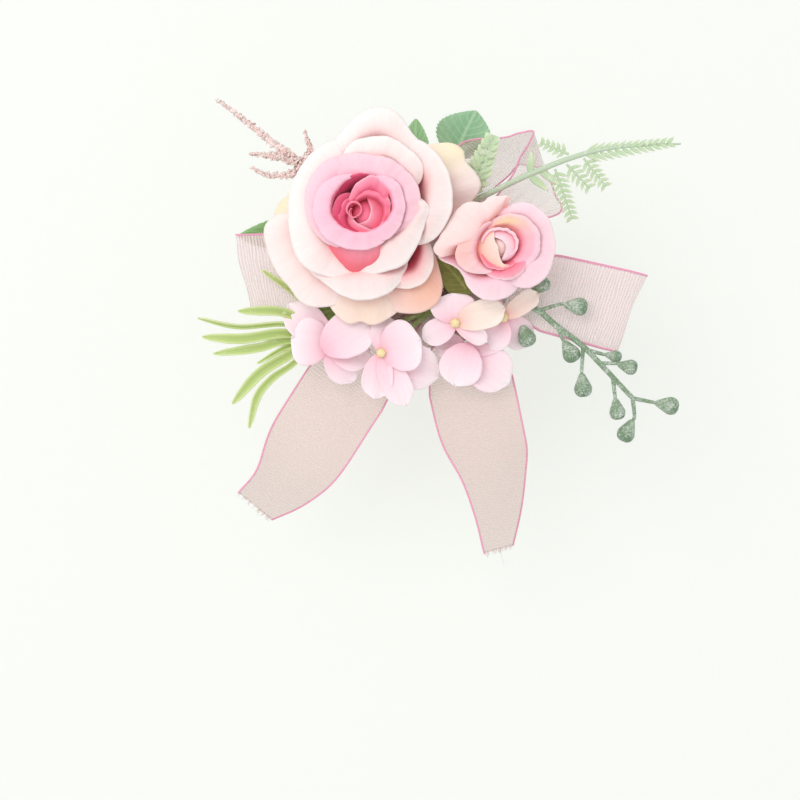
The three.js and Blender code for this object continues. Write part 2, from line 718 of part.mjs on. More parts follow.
// The calyx: a short stem, a cup with five sepals, and the peg that the petal layers are threaded on.
function flowerCalyx(flower, pegTop) {
  const bottom = -flower.cupHeight - flower.stemLength;
  const body = turned([
    [0, bottom],
    [flower.stemRadius, bottom],
    [flower.stemRadius, -flower.cupHeight],
    [0.8 * flower.cupRadius, -0.6 * flower.cupHeight],
    [flower.cupRadius, 0],
    [PEG_RADIUS, 0],
    [PEG_RADIUS, pegTop],
    [0, pegTop],
  ], 10);
  const sepals = [0, 1, 2, 3, 4].map((count) => {
    const angle = (2 * Math.PI * count) / 5;
    const at = (u, v) => {
      const out = 0.75 * flower.cupRadius + v * (0.25 * flower.cupRadius + flower.sepalLength);
      const side = (2 * u - 1) * 1.7 * (1 - 0.85 * v);
      const drop = -0.5 - 0.3 * flower.cupHeight * v - 0.5 * v * v;
      return vec([out, side, drop]).applyAxisAngle(vec([0, 0, 1]), angle);
    };
    return sheetSolid(at, 1, 3, PETAL_THICKNESS);
  });
  return joined([body, ...sepals]);
}

// A whole flower on its calyx, standing on the disc and leaning a little.
function makeFlower(name, flower, petalLooks) {
  const group = new THREE.Group();
  group.name = name;
  group.rotation.set(THREE.MathUtils.degToRad(flower.leanX), THREE.MathUtils.degToRad(flower.leanY), 0);
  const axis = vec([0, 0, flower.stemLength + flower.cupHeight]).applyEuler(group.rotation);
  group.position.set(...flower.at, SEAT).add(axis);
  group.updateMatrix();
  const heartBottom = flower.layers.length * LAYER_PITCH + GLUE_GAP;
  const pegTop = heartBottom + 2;
  const toFlower = group.matrix.clone().invert();
  const { layers, heart } = petalLayers(flower, toFlower, flowerHeart(flower, heartBottom, pegTop));
  group.add(mesh(`${name}_calyx`, flowerCalyx(flower, pegTop), LOOKS.stem));
  group.add(mesh(`${name}_heart`, heart, LOOKS.heart));
  layers.forEach((layer, place) => group.add(mesh(`${name}_petals_${place + 1}`, layer, petalLooks[place])));
  return group;
}

// The outline of a floret: the distance from its middle to the rim of the nearest of its four round petals.
function floretRim(angle) {
  const quarter = Math.PI / 2;
  const off = angle - quarter * Math.round(angle / quarter);
  const middle = FLORET_PETAL_LENGTH - FLORET_PETAL_WIDTH / 2;
  const inside = Math.max(0, (FLORET_PETAL_WIDTH / 2) ** 2 - (middle * Math.sin(off)) ** 2);
  return middle * Math.cos(off) + Math.sqrt(inside);
}

// The four petals of a floret, stamped in one piece, dished, creased between petals and bored for the peg.
function floretPetals(turn) {
  const bore = PEG_RADIUS + GLUE_GAP;
  const rounds = 28;
  const rings = [0, 0.35, 0.7, 1];
  const side = (lift) => rings.map((share) => Array.from({ length: rounds }, (_, k) => {
    const angle = (2 * Math.PI * k) / rounds;
    const radius = bore + (floretRim(angle) - bore) * share;
    const crease = 0.5 * FLORET_CREASE * (1 + Math.cos(4 * angle)) * share;
    const rise = FLORET_BOWL * (radius / FLORET_PETAL_LENGTH) ** 1.5 + crease + lift;
    return vec([radius * Math.cos(angle + turn), radius * Math.sin(angle + turn), rise]);
  }));
  const upper = side(PETAL_THICKNESS / 2);
  const lower = side(-PETAL_THICKNESS / 2).reverse();
  return tubeSolid([...upper, ...lower]);
}

// The bead in the middle of a floret, with a blind bore for its peg.
function floretBead() {
  const bore = PEG_RADIUS + GLUE_GAP;
  const wide = bore + BEAD_WALL;
  return turned([
    [0, PEG_REACH],
    [bore, PEG_REACH],
    [bore, 0],
    [0.9 * wide, 0],
    [wide, 0.5 * PEG_REACH],
    [0.75 * wide, PEG_REACH + 0.6 * BEAD_WALL],
    [0, PEG_REACH + BEAD_WALL],
  ], 8);
}

// The hydrangea: a branched stem whose ends are pegs, with four-petal florets and beads pushed on them.
function makeHydrangea() {
  const [x, y] = UMBEL_AT;
  const fork = [x, y, SEAT + UMBEL_FORK_HEIGHT];
  const branches = FLORETS.map(({ at, height, via }) => {
    const below = [...at, height - 3];
    const shoulder = [...at, height - PETAL_THICKNESS / 2 - GLUE_GAP];
    const arm = stemSolid([fork, via, below, shoulder], [UMBEL_RADIUS, 0.9, 0.9, 1.3], 5, 5);
    const pegTop = [...at, height + PETAL_THICKNESS / 2 + FLORET_BOWL / 2 + PEG_REACH];
    const peg = stemSolid([below, pegTop], [PEG_RADIUS], 1, 6);
    return joined([arm, peg]);
  });
  const trunk = stemSolid([[x, y, SEAT], [x, y, SEAT + UMBEL_FORK_HEIGHT + 0.5]], [UMBEL_RADIUS], 2, 8);
  const pieces = [mesh("hydrangea_stem", joined([trunk, ...branches]), LOOKS.stem)];
  FLORETS.forEach(({ at, height, turn }, place) => {
    const floret = floretPetals(turn).translate(...at, height);
    const beadBottom = height + PETAL_THICKNESS / 2 + FLORET_BOWL / 2 + GLUE_GAP;
    pieces.push(mesh(`hydrangea_floret_${place + 1}`, floret, LOOKS.floret));
    pieces.push(mesh(`hydrangea_bead_${place + 1}`, floretBead().translate(...at, beadBottom), LOOKS.bead));
  });
  return pieces;
}

// A pointed blade along a curve, with the way across it, its half widths and a fold along its midrib.
function bladeSolid(points, across, halfWidths, fold, thickness, steps) {
  const curve = new THREE.CatmullRomCurve3(points.map(vec));
  const side = vec(across).normalize();
  const at = (u, v) => {
    const half = valueAlong(halfWidths, v);
    const share = 2 * u - 1;
    const point = curve.getPointAt(v).addScaledVector(side, share * half);
    point.z += fold * (half / Math.max(...halfWidths)) * (Math.abs(share) - 0.5);
    return point;
  };
  return sheetSolid(at, fold ? 2 : 1, steps, thickness);
}

// A rose leaf: a round petiole from the disc and a folded blade on its end.
function leaf(petiole, blade, across, halfWidth) {
  const widths = [0.18, 0.62, 0.92, 1, 0.9, 0.66, 0.36, 0.06].map((share) => share * halfWidth);
  const start = blade[0];
  const stalk = stemSolid([...petiole, start], [PETIOLE_RADIUS, PETIOLE_RADIUS, 0.6], 5, 6);
  return joined([stalk, bladeSolid(blade, across, widths, LEAF_FOLD, LEAF_THICKNESS, 8)]);
}

// The five rose leaves.
function makeLeaves() {
  const low = SEAT + PETIOLE_RADIUS;
  const top = leaf(
    [[5, 22.5, low], [6.4, 30, low]],
    [[8, 36, low], [11.8, 44.3, low + 1.2], [15.5, 51.7, low + 1]],
    [0.93, -0.37, 0], 9.4,
  );
  const small = leaf(
    [[-6, 22, low], [-6, 26, low]],
    [[-5.8, 30, low], [-5.2, 40, low + 1], [-4.8, 49, low + 1]],
    [1, -0.05, 0], 4.6,
  );
  const left = leaf(
    [[-22.5, 9.4, low], [-26, 10, low]],
    [[-30, 10.2, low], [-48, 10.2, low - 0.4], [-65, 9.6, low - 1.4]],
    [0, 1, 0], 6,
  );
  const centre = leaf(
    [[12, -10.5, SEAT], [12.3, -10.8, SEAT + 6]],
    [[13, -10.5, SEAT + 10], [9, -5, SEAT + 11], [2.4, 2, SEAT + 11]],
    [0.75, 0.66, 0], 5.4,
  );
  const below = leaf(
    [[-20.5, -12.2, SEAT], [-21, -12.6, SEAT + 5]],
    [[-25, -14, SEAT + 7.6], [-33, -16, SEAT + 8], [-42, -17.5, SEAT + 7.8]],
    [0.15, 1, 0], 4.4,
  );
  return [
    mesh("rose_leaf_top", top, LOOKS.leaf),
    mesh("rose_leaf_small", small, LOOKS.leaf),
    mesh("rose_leaf_left", left, LOOKS.leaf),
    mesh("rose_leaf_centre", centre, LOOKS.leaf),
    mesh("rose_leaf_below", below, LOOKS.leaf),
  ];
}

// The fixed foot of a wired sprig, ending clear of the ball that turns at the pivot.
function sprigFoot(points, pivot) {
  const from = vec(points[points.length - 1]);
  const clear = SPRIG_BALL_RADIUS + GLUE_GAP;
  const end = vec(pivot).addScaledVector(vec(pivot).sub(from).normalize(), -clear).toArray();
  return stemSolid([...points, end], [SPRIG_STEM_RADIUS], 8, 7);
}

// The ball at a sprig's pivot.
function pivotBall(pivot) {
  return new THREE.SphereGeometry(SPRIG_BALL_RADIUS, 8, 6).translate(...pivot);
}

// A drop-shaped berry whose narrow end meets its stalk, sized by a share of the full berry.
function berry(stalkEnd, centre, share) {
  const half = (BERRY_LENGTH / 2) * share;
  const wide = (BERRY_WIDTH / 2) * share;
  const drop = turned([
    [0, -half],
    [0.6 * wide, -0.55 * half],
    [wide, 0.2 * half],
    [0.78 * wide, 0.72 * half],
    [0, half],
  ], 7);
  const way = vec(centre).sub(vec(stalkEnd)).normalize();
  const neck = vec(centre).addScaledVector(way, -0.7 * half).toArray();
  return { drop: aimed(drop, centre, way.toArray()), neck };
}

// Stalks with their berries, from places on the main stem.
function berryBranches(branches) {
  return branches.flatMap(({ from, bend, centre, share }) => {
    const { drop, neck } = berry(bend, centre, share);
    return [stemSolid([from, bend, neck], [0.75, 0.65], 3, 5), drop];
  });
}

// The berry sprig: a foot with two berries, and the spray that bends up from it.
function makeBerries() {
  const foot = joined([
    sprigFoot([[16, -15, SEAT], [17.5, -15.2, 10], [26, -15.7, 13.4]], BERRY_PIVOT),
    ...berryBranches([
      { from: [28.6, -15.6, 14.1], bend: [29.3, -18.5, 13.4], centre: [32, -24.2, 12.5], share: 1 },
      { from: [28.6, -15.6, 14.1], bend: [32.6, -11.4, 14.8], centre: [36.7, -7.8, 15], share: 0.9 },
    ]),
  ]);
  const main = [BERRY_PIVOT, [42.2, -21.3, 16.8], [50.9, -28, 17], [56.5, -33.7, 17], [67.9, -45.7, 16.4]];
  const spray = joined([
    pivotBall(BERRY_PIVOT),
    stemSolid(main, [SPRIG_STEM_RADIUS, 0.95, 0.8], 8, 6),
    ...berryBranches([
      { from: [36, -16.2, 16.2], bend: [43.2, -14, 16.8], centre: [48.5, -14.6, 16.6], share: 1 },
      { from: [42.5, -21.6, 16.8], bend: [43.8, -25, 16.8], centre: [46.5, -29.6, 16.6], share: 1 },
      { from: [51, -28.2, 17], bend: [50.5, -36.7, 17], centre: [50.9, -41, 16.8], share: 1 },
      { from: [52.2, -29.2, 17], bend: [57.4, -30.6, 16], centre: [61.2, -31.3, 15.6], share: 0.7 },
      { from: [56.5, -33.7, 17], bend: [61.4, -33.8, 17.6], centre: [65.7, -34.8, 17.8], share: 0.8 },
      { from: [61, -38.6, 16.8], bend: [61.6, -44.3, 16.8], centre: [62.3, -49, 16.6], share: 0.95 },
      { from: [67.6, -45.4, 16.4], bend: [74.6, -46.8, 16.6], centre: [79, -47.7, 16.6], share: 0.95 },
      { from: [67.6, -45.4, 16.4], bend: [68.2, -51.4, 16.4], centre: [65.9, -56.2, 16.2], share: 0.95 },
    ]),
  ]);
  return [mesh("berry_foot", foot, LOOKS.berry), mesh("berry_spray", spray, LOOKS.berry)];
}

// A narrow leaflet as a stretched eight-sided drop from a place towards a tip.
function leaflet(from, to, width) {
  const way = vec(to).sub(vec(from));
  const middle = vec(from).add(vec(to)).multiplyScalar(0.5);
  const body = new THREE.OctahedronGeometry(1, 0).scale(width / 2, width / 2, 0.5 * way.length());
  return aimed(body, middle.toArray(), way.toArray());
}

// Leaflets in pairs along a rib, slanting forward, longest near the foot.
function leafletPairs(from, to, pairs, length, width) {
  const way = vec(to).sub(vec(from)).normalize();
  const side = way.clone().cross(vec([0, 0, 1])).normalize();
  const made = [];
  for (let count = 0; count < pairs; count += 1) {
    const share = (count + 0.6) / pairs;
    const root = vec(from).lerp(vec(to), share);
    for (const hand of [-1, 1]) {
      const reach = length * (1 - 0.45 * share);
      const tip = root.clone().addScaledVector(side, hand * 0.75 * reach).addScaledVector(way, 0.66 * reach);
      const start = root.clone().addScaledVector(side, -hand * 0.2);
      made.push(leaflet(start.toArray(), tip.toArray(), width));
    }
  }
  return made;
}

// One side frond of the fern, its rib starting clear of the main stem.
function frond(from, to, pairs, length) {
  const rib = stemSolid([from, to], [0.55, 0.3], 2, 5);
  return joined([rib, ...leafletPairs(from, to, pairs, length, 1.3)]);
}

// The fern: a foot with a short leafy shoot, the long spike that bends, and its four side fronds.
function makeFern() {
  const shootTop = [20.4, 41, 20];
  const foot = joined([
    sprigFoot([[-1, 16, SEAT], [-0.3, 16.4, 10.5], [6, 18.5, 14.8]], FERN_PIVOT),
    stemSolid([[5, 18.2, 14.2], [11, 24.5, 17], [17, 29, 18.6], shootTop], [0.8, 0.7, 0.5], 6, 6),
    ...leafletPairs([15.6, 27.6, 18.3], shootTop, 4, 5, 2.4),
  ]);
  const spikeEnd = [78, 40, 18];
  const stem = joined([
    pivotBall(FERN_PIVOT),
    stemSolid([FERN_PIVOT, [31.7, 28.6, 19.6], [48, 35, 20], [62.1, 38.3, 19], [83.4, 39.6, 17]],
      [SPRIG_STEM_RADIUS, 1, 0.9, 0.7, 0.4], 8, 6),
    ...leafletPairs([53, 36.6, 19.8], spikeEnd, 6, 4.6, 1.5),
    leaflet([33.1, 29, 19.7], [33.1, 36.6, 20], 2),
    leaflet([32.6, 29, 19.7], [38.8, 24, 19], 2.2),
  ]);
  const fronds = [
    frond([41.6, 30.6, 19.4], [47.3, 15.2, 17], 6, 4.6),
    frond([45.6, 32.2, 19.6], [52.2, 25.6, 18], 4, 4.6),
    frond([51.2, 34.2, 19.6], [57.6, 26, 18], 4, 4.4),
    frond([45.6, 36, 20.2], [37.5, 39.6, 18.4], 4, 3.6),
  ];
  return [
    mesh("fern_foot", foot, LOOKS.fern),
    mesh("fern_stem", stem, LOOKS.fern),
    ...fronds.map((made, place) => mesh(`fern_frond_${place + 1}`, made, LOOKS.fern)),
  ];
}

// One flocked spike of the plume, knobbly and blunt at its tip.
function spike(points) {
  const knobs = [0.55, 1, 0.8, 1.05, 0.82, 1, 0.78, 0.95, 0.72, 0.85, 0.35];
  return stemSolid(points, knobs.map((share) => share * PLUME_RADIUS), 10, 5);
}

// The plume: a foot under the rose and the branched spray that bends from it.
function makePlume() {
  const foot = sprigFoot(
    [[-21.5, 13.2, SEAT], [-21.6, 13.4, SEAT + 1.2], [-25, 17.4, 8.4], [-33, 25.4, 9.4]],
    PLUME_PIVOT,
  );
  const fork = [-45.9, 34.8, 10.2];
  const spray = joined([
    pivotBall(PLUME_PIVOT),
    stemSolid([PLUME_PIVOT, fork], [SPRIG_STEM_RADIUS], 2, 7),
    spike([[-44.5, 34, 10.1], [-59.1, 45.4, 10.6], [-72, 55.3, 9.4]]),
    spike([fork, [-53, 36.2, 10.4], [-60.8, 37, 9.4]]),
    spike([[-43, 32.6, 10], [-46.5, 30.2, 10], [-54.7, 29.8, 10], [-60.2, 32.4, 9]]),
    spike([[-43, 33, 10], [-40.6, 38, 10.2], [-42.4, 44.7, 10.2]]),
  ]);
  return [mesh("plume_foot", foot, LOOKS.stem), mesh("plume_spray", spray, LOOKS.plume)];
}

// The grass pick: one moulded stem whose end fans into eight blades.
function makeGrass() {
  const fan = [-42.4, -26, 10.4];
  const widths = [0.36, 0.8, 1, 0.95, 0.7, 0.1].map((share) => (share * BLADE_WIDTH) / 2);
  const blades = [
    [[[-43.6, -18, 12.6], [-45.7, -9.8, 15], [-56.4, -2.5, 15.6]], [0.6, 0.8, 0]],
    [[[-48.4, -16.8, 14], [-64.5, -16.2, 14.6]], [0, 1, 0]],
    [[[-48.1, -20.6, 13], [-64.5, -21.4, 13.4], [-78, -18.5, 12.4]], [0, 0.6, 0.8]],
    [[[-50, -23.6, 12], [-63.3, -25.4, 12.2], [-76.7, -24.8, 11.4]], [0, 1, 0]],
    [[[-50, -26.2, 11], [-58, -28.4, 10.8], [-73.1, -30.4, 9.8]], [0.1, 1, 0]],
    [[[-48, -28, 10], [-58.3, -33.6, 9.6]], [0.5, 0.86, 0]],
    [[[-48, -31, 10], [-57.7, -37.2, 9.4], [-66.8, -47.3, 8]], [0.7, -0.7, 0]],
    [[[-46, -33.5, 9.6], [-53.2, -38.6, 9], [-58.4, -45, 8.4], [-61.2, -55.5, 7.4]], [0.9, -0.4, 0]],
  ].map(([points, across]) => bladeSolid([fan, ...points], across, widths, 0, BLADE_THICKNESS, 6));
  const stalk = stemSolid(
    [[-14, -12, SEAT], [-14.8, -12.4, 8.4], [-25, -17.6, 10.2], fan],
    [1.2, 1.1, 1.1, 1.3], 8, 7,
  );
  return [mesh("grass_pick", joined([stalk, ...blades]), LOOKS.grass)];
}

const rosePetals = [LOOKS.innerPetal, LOOKS.innerPetal, LOOKS.outerPetal, LOOKS.outerPetal];
const corsage = new THREE.Group();
corsage.name = "wrist_corsage";
corsage.add(
  ...makeBacking(),
  ...makeBand(),
  ...makeBow(),
  makeFlower("rose", ROSE, rosePetals),
  makeFlower("bud", BUD, [LOOKS.budPetal, LOOKS.budPetal]),
  ...makeHydrangea(),
  ...makeLeaves(),
  ...makeBerries(),
  ...makeFern(),
  ...makePlume(),
  ...makeGrass(),
);

export default corsage;
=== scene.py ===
# %% [markdown]
# A wrist corsage is a small bouquet on an elastic band. This one has a silk rose, a half-open
# rosebud, hydrangea florets, moulded greenery and an organza bow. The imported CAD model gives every
# place and every joint, and this lesson dresses it. Each piece is a surface worked out with numpy in
# millimetres, so a reader can change one number and see what it does.

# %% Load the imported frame
import bmesh
import bpy
import numpy as np
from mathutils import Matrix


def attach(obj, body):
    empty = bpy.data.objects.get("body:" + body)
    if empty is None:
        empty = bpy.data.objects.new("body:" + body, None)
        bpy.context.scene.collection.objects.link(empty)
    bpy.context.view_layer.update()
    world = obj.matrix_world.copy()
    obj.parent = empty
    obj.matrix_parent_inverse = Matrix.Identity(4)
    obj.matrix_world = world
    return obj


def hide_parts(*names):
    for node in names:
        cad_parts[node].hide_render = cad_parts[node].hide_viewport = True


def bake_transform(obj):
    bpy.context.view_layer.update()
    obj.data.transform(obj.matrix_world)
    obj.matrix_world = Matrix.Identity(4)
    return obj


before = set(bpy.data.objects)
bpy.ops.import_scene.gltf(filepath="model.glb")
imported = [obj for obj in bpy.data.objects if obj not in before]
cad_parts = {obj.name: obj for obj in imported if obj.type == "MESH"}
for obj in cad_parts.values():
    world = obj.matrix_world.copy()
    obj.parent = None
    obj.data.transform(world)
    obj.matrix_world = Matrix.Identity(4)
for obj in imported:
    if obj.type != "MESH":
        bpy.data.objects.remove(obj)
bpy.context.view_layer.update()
scene = bpy.context.scene
scene.view_settings.view_transform = "Standard"

# %% [markdown]
# The picture looks straight down on the flowers from about 0.8 m. A camera with no turn looks along
# -Z with +Y up, which is just that, so it only needs a place and a lens.

# %% Camera
MM = 0.001
PICTURE_WIDTH, PICTURE_DISTANCE = 268, 800
SENSOR_WIDTH = 36
CAMERA_PLACE = np.array([-10.2, -46, 815])
camera = bpy.data.objects.new("camera", bpy.data.cameras.new("camera"))
camera.data.sensor_width = SENSOR_WIDTH
camera.data.lens = SENSOR_WIDTH * PICTURE_DISTANCE / PICTURE_WIDTH
camera.data.clip_start = 0.01
camera.location = CAMERA_PLACE * MM
scene.collection.objects.link(camera)
scene.camera = camera
print("lens", round(camera.data.lens, 1), "mm")


# %% [markdown]
# Colours are easiest to read as screen values, but shaders mix light, which is linear. One helper
# turns a screen colour into a linear one. A second helper adds one shader node with its settings and
# its inputs, which keeps the materials short enough to read.

# %% Colour and node helpers
def screen(red, green, blue):
    """Linear colour of an 8-bit screen colour: a power of 2.4 above a short straight foot."""
    share = np.array([red, green, blue]) / 255
    return np.where(share <= 0.04045, share / 12.92, ((share + 0.055) / 1.055) ** 2.4)


def rgba(red, green, blue):
    return (*screen(red, green, blue), 1.0)


def node(tree, kind, inputs=None, **settings):
    """A shader node. Inputs are keyed by socket name or number, and hold a value or another socket."""
    made = tree.nodes.new("ShaderNode" + kind)
    for key, value in settings.items():
        setattr(made, key, value)
    for key, value in (inputs or {}).items():
        if isinstance(value, bpy.types.NodeSocket):
            tree.links.new(value, made.inputs[key])
        else:
            made.inputs[key].default_value = value
    return made


def maths(tree, operation, first, second=0.0):
    return node(tree, "Math", {0: first, 1: second}, operation=operation).outputs[0]


def mixed(tree, share, first, second):
    inputs = {0: share, 6: first, 7: second}
    return node(tree, "Mix", inputs, data_type="RGBA").outputs[2]


def own_place(tree):
    """Place on the object itself, in metres."""
    return node(tree, "TexCoord").outputs["Object"]


def new_material(name):
    material = bpy.data.materials.new(name)
    material.use_nodes = True
    material.node_tree.nodes.clear()
    print("material", name)
    return material, material.node_tree


def finish_material(tree, inputs):
    """The Principled shader with its inputs, wired to the output."""
    shader = node(tree, "BsdfPrincipled", inputs)
    node(tree, "OutputMaterial", {"Surface": shader.outputs[0]})


# %% [markdown]
# An even sky and a soft lamp from the upper left give the bright, high-key light of the picture. The
# world fills the shadows, and only what the camera sees of it, or gloss shows of it, is white.

# %% Light
AMBIENT = 0.82
LAMP_WATTS = 4.6
LAMP_SIZE, LAMP_PLACE = 0.7, (-0.42, 0.34, 0.98)


def showing_rays(tree):
    """One for the rays that show the background: from the camera, in gloss and through clear pieces."""
    ray = node(tree, "LightPath").outputs
    mirrored = maths(tree, "ADD", ray["Is Glossy Ray"], ray["Is Transmission Ray"])
    return node(tree, "Clamp", {0: maths(tree, "ADD", ray["Is Camera Ray"], mirrored)}).outputs[0]


lamp = bpy.data.objects.new("lamp", bpy.data.lights.new("lamp", "AREA"))
lamp.data.size = LAMP_SIZE
lamp.data.energy = LAMP_WATTS
lamp.location = LAMP_PLACE
lamp.rotation_euler = (-lamp.location).to_track_quat("-Z", "Y").to_euler()
scene.collection.objects.link(lamp)

world = bpy.data.worlds.new("studio")
scene.world = world
world.use_nodes = True
tree = world.node_tree
tree.nodes.clear()
fill = node(tree, "Background", {"Color": (1, 1, 1, 1), "Strength": AMBIENT})
seen = node(tree, "Background", {"Color": rgba(250, 252, 247), "Strength": 1.0})
sky = node(tree, "MixShader", {0: showing_rays(tree), 1: fill.outputs[0], 2: seen.outputs[0]})
node(tree, "OutputWorld", {"Surface": sky.outputs[0]})
print("lamp", LAMP_WATTS, "W and sky", AMBIENT)


# %% [markdown]
# The table lies below the band at its longest stretch, so that the loop is free to move above it. For
# the camera the table glows a little, so that it stays pale and still keeps a soft shadow.

# %% Table
FLOOR_Z, TABLE_GLOW, TABLE_REACH = -60.5, 0.6, 3.0
table_paint, tree = new_material("pale_table")
grain = node(tree, "TexNoise", {"Scale": 6.0, "Detail": 2.0}).outputs[0]
colour = mixed(tree, grain, rgba(246, 249, 243), rgba(250, 252, 247))
matt = node(tree, "BsdfDiffuse", {"Color": colour})
glow = node(tree, "Emission", {"Color": colour, "Strength": 1.0})
share = maths(tree, "MULTIPLY", showing_rays(tree), TABLE_GLOW)
both = node(tree, "MixShader", {0: share, 1: matt.outputs[0], 2: glow.outputs[0]})
node(tree, "OutputMaterial", {"Surface": both.outputs[0]})
table = bpy.data.meshes.new("table")
corners = TABLE_REACH * np.array([[-1, -1], [1, -1], [1, 1], [-1, 1]])
table.from_pydata([(x, y, FLOOR_Z * MM) for x, y in corners], [], [(0, 1, 2, 3)])
table.materials.append(table_paint)
table = bpy.data.objects.new("table", table)
scene.collection.objects.link(table)
print("table at", FLOOR_Z, "mm")


# %% [markdown]
# Petals, stems and ribbons all start from a few measured points, and a smooth curve gives the rest. It
# passes through every point, so that a measured place stays where it was measured. Colours fade from a
# few stops in the same spirit, so that dye can run out from the foot of a petal to its rim.

# %% Smooth curves and fades
def smooth_family(rows, shares):
    """Curves down all columns of rows at once, each column with its own shares: on each stretch a
    cubic through two points whose slopes come from the points before and after."""
    rows = np.concatenate([2 * rows[:1] - rows[1:2], rows, 2 * rows[-1:] - rows[-2:-1]])
    place = np.clip(shares, 0, 1) * (len(rows) - 3)
    first = np.minimum(place.astype(int), len(rows) - 4)
    part = (place - first)[..., None]
    column = np.arange(rows.shape[1])[:, None]
    a, b, c, d = (rows[first + step, column] for step in range(4))
    bend = 2 * a - 5 * b + 4 * c - d + (3 * (b - c) + d - a) * part
    return b + 0.5 * part * (c - a + part * bend)


def smooth_path(points, shares):
    """One such curve through a list of points."""
    rows = np.asarray(points, float)[:, None]
    return smooth_family(rows, np.asarray(shares)[None])[0]


def unit(rows):
    return rows / np.maximum(np.linalg.norm(rows, axis=-1, keepdims=True), 1e-9)


def gradient(stops, share):
    """Colour at each share, fading evenly between stops of place and screen colour."""
    places = [place for place, _ in stops]
    colours = np.array([screen(*colour) for _, colour in stops])
    return np.stack([np.interp(share, places, colours[:, k]) for k in range(3)], -1)


# %% [markdown]
# Every new piece is one or more grids of points. A grid with its first direction wrapped is a tube. A
# grid may also carry a place on the cloth in millimetres, kept as its UV map, and a tint, kept as a
# point colour. A sheet gets its thickness from a modifier, and a closed body is welded at its seams.

# %% Pieces from grids
def grid_quads(rows, columns, wrap):
    """Corner numbers of a grid's four-sided faces; wrap joins the last row to the first."""
    i = np.arange(rows if wrap else rows - 1)[:, None]
    j = np.arange(columns - 1)[None]
    here, there = i * columns + j, (i + 1) % rows * columns + j
    return np.stack([here, there, there + 1, here + 1], -1).reshape(-1, 4)


def weld(mesh):
    """Joins points that lie together, which closes seams and poles, and turns the faces outward."""
    work = bmesh.new()
    work.from_mesh(mesh)
    bmesh.ops.remove_doubles(work, verts=work.verts, dist=1e-6)
    bmesh.ops.recalc_face_normals(work, faces=work.faces)
    work.to_mesh(mesh)
    work.free()


def piece(name, grids, material, replaces=(), thickness=0.0):
    """An object from grids. A thickness in mm makes a sheet of them, and without one they are closed."""
    points, quads, cloth, tint, start = [], [], [], [], 0
    for grid in grids:
        shape = np.asarray(grid["points"], float)
        rows, columns = shape.shape[-3:-1]
        each = rows * columns
        copies = shape.size // (3 * each)
        corners = grid_quads(rows, columns, grid.get("wrap", False))
        shift = start + each * np.arange(copies)
        quads.append((corners[None] + shift[:, None, None]).reshape(-1, 4))
        points.append(shape.reshape(-1, 3))
        where = np.broadcast_to(grid.get("cloth", np.zeros(2)), (*shape.shape[:-1], 2))
        cloth.append(where.reshape(-1, 2))
        tint.append(np.broadcast_to(grid.get("tint", np.ones(3)), shape.shape).reshape(-1, 3))
        start += each * copies
    points, quads, cloth, tint = map(np.concatenate, (points, quads, cloth, tint))
    mesh = bpy.data.meshes.new(name)
    mesh.from_pydata((points * MM).tolist(), [], quads.tolist())
    corner = np.empty(len(mesh.loops), np.int32)
    mesh.loops.foreach_get("vertex_index", corner)
    flat = mesh.uv_layers.new(name="cloth")
    flat.data.foreach_set("uv", cloth[corner].astype(np.float32).ravel())
    paint = mesh.color_attributes.new("tint", "FLOAT_COLOR", "POINT")
    paint.data.foreach_set("color", np.insert(tint, 3, 1, 1).astype(np.float32).ravel())
    mesh.shade_smooth()
    mesh.materials.append(material)
    made = bpy.data.objects.new(name, mesh)
    scene.collection.objects.link(made)
    if thickness:
        wall = made.modifiers.new("thickness", "SOLIDIFY")
        wall.thickness = thickness * MM
        wall.offset = 0
    else:
        weld(mesh)
    if replaces:
        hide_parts(*replaces)
    print(name, len(mesh.polygons), "faces")
    return made


def fixed(name, grids, material, replaces=(), thickness=0.0):
    """A piece that rides on the base, as most of the corsage does."""
    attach(piece(name, grids, material, replaces, thickness), "spray_base")


# %% [markdown]
# Stems, stalks and cords are rods: rings carried along a smooth path. Cups, beads and berries are
# turned: a profile of radius and height carried round an axis. Bevelled curves and the Screw modifier
# could make both, but as arrays they can carry a tint along their length.

# %% Rods and turned bodies
def circle(count):
    """Angles evenly round a full turn."""
    return np.linspace(0, 2 * np.pi, count, endpoint=False)


def rod(points, radii, around=10, steps=32, tint=(255, 255, 255)):
    """Rings across a smooth path. Two small rings and a point round off each end."""
    share = np.linspace(0, 1, steps)
    line = smooth_path(points, share)
    radius = np.interp(share, np.linspace(0, 1, len(radii)), radii)
    way = unit(np.gradient(line, axis=0))
    square = np.linalg.svd(line - line.mean(0))[2][2]
    side = unit(np.cross(way, square))
    small, back = np.array([0.0, 0.6, 0.9]), np.array([1.0, 0.75, 0.4])[:, None]
    line = np.vstack([line[0] - radius[0] * back * way[0], line,
                      line[-1] + radius[-1] * back[::-1] * way[-1]])
    radius = np.concatenate([radius[0] * small, radius, radius[-1] * small[::-1]])
    pad = ((3, 3), (0, 0))
    side, up = np.pad(side, pad, "edge"), np.pad(np.cross(way, side), pad, "edge")
    angle = circle(around)[:, None, None]
    out = np.cos(angle) * side + np.sin(angle) * up
    return {"points": line + radius[:, None] * out, "wrap": True, "tint": screen(*tint)}


def axis_frame(way):
    """Two directions square to a way and to each other, and the way itself, each of length one."""
    way = unit(np.asarray(way, float))
    first = unit(np.cross(way, [0.0, 0.0, 1.0] if abs(way[2]) < 0.9 else [1.0, 0.0, 0.0]))
    return first, np.cross(way, first), way


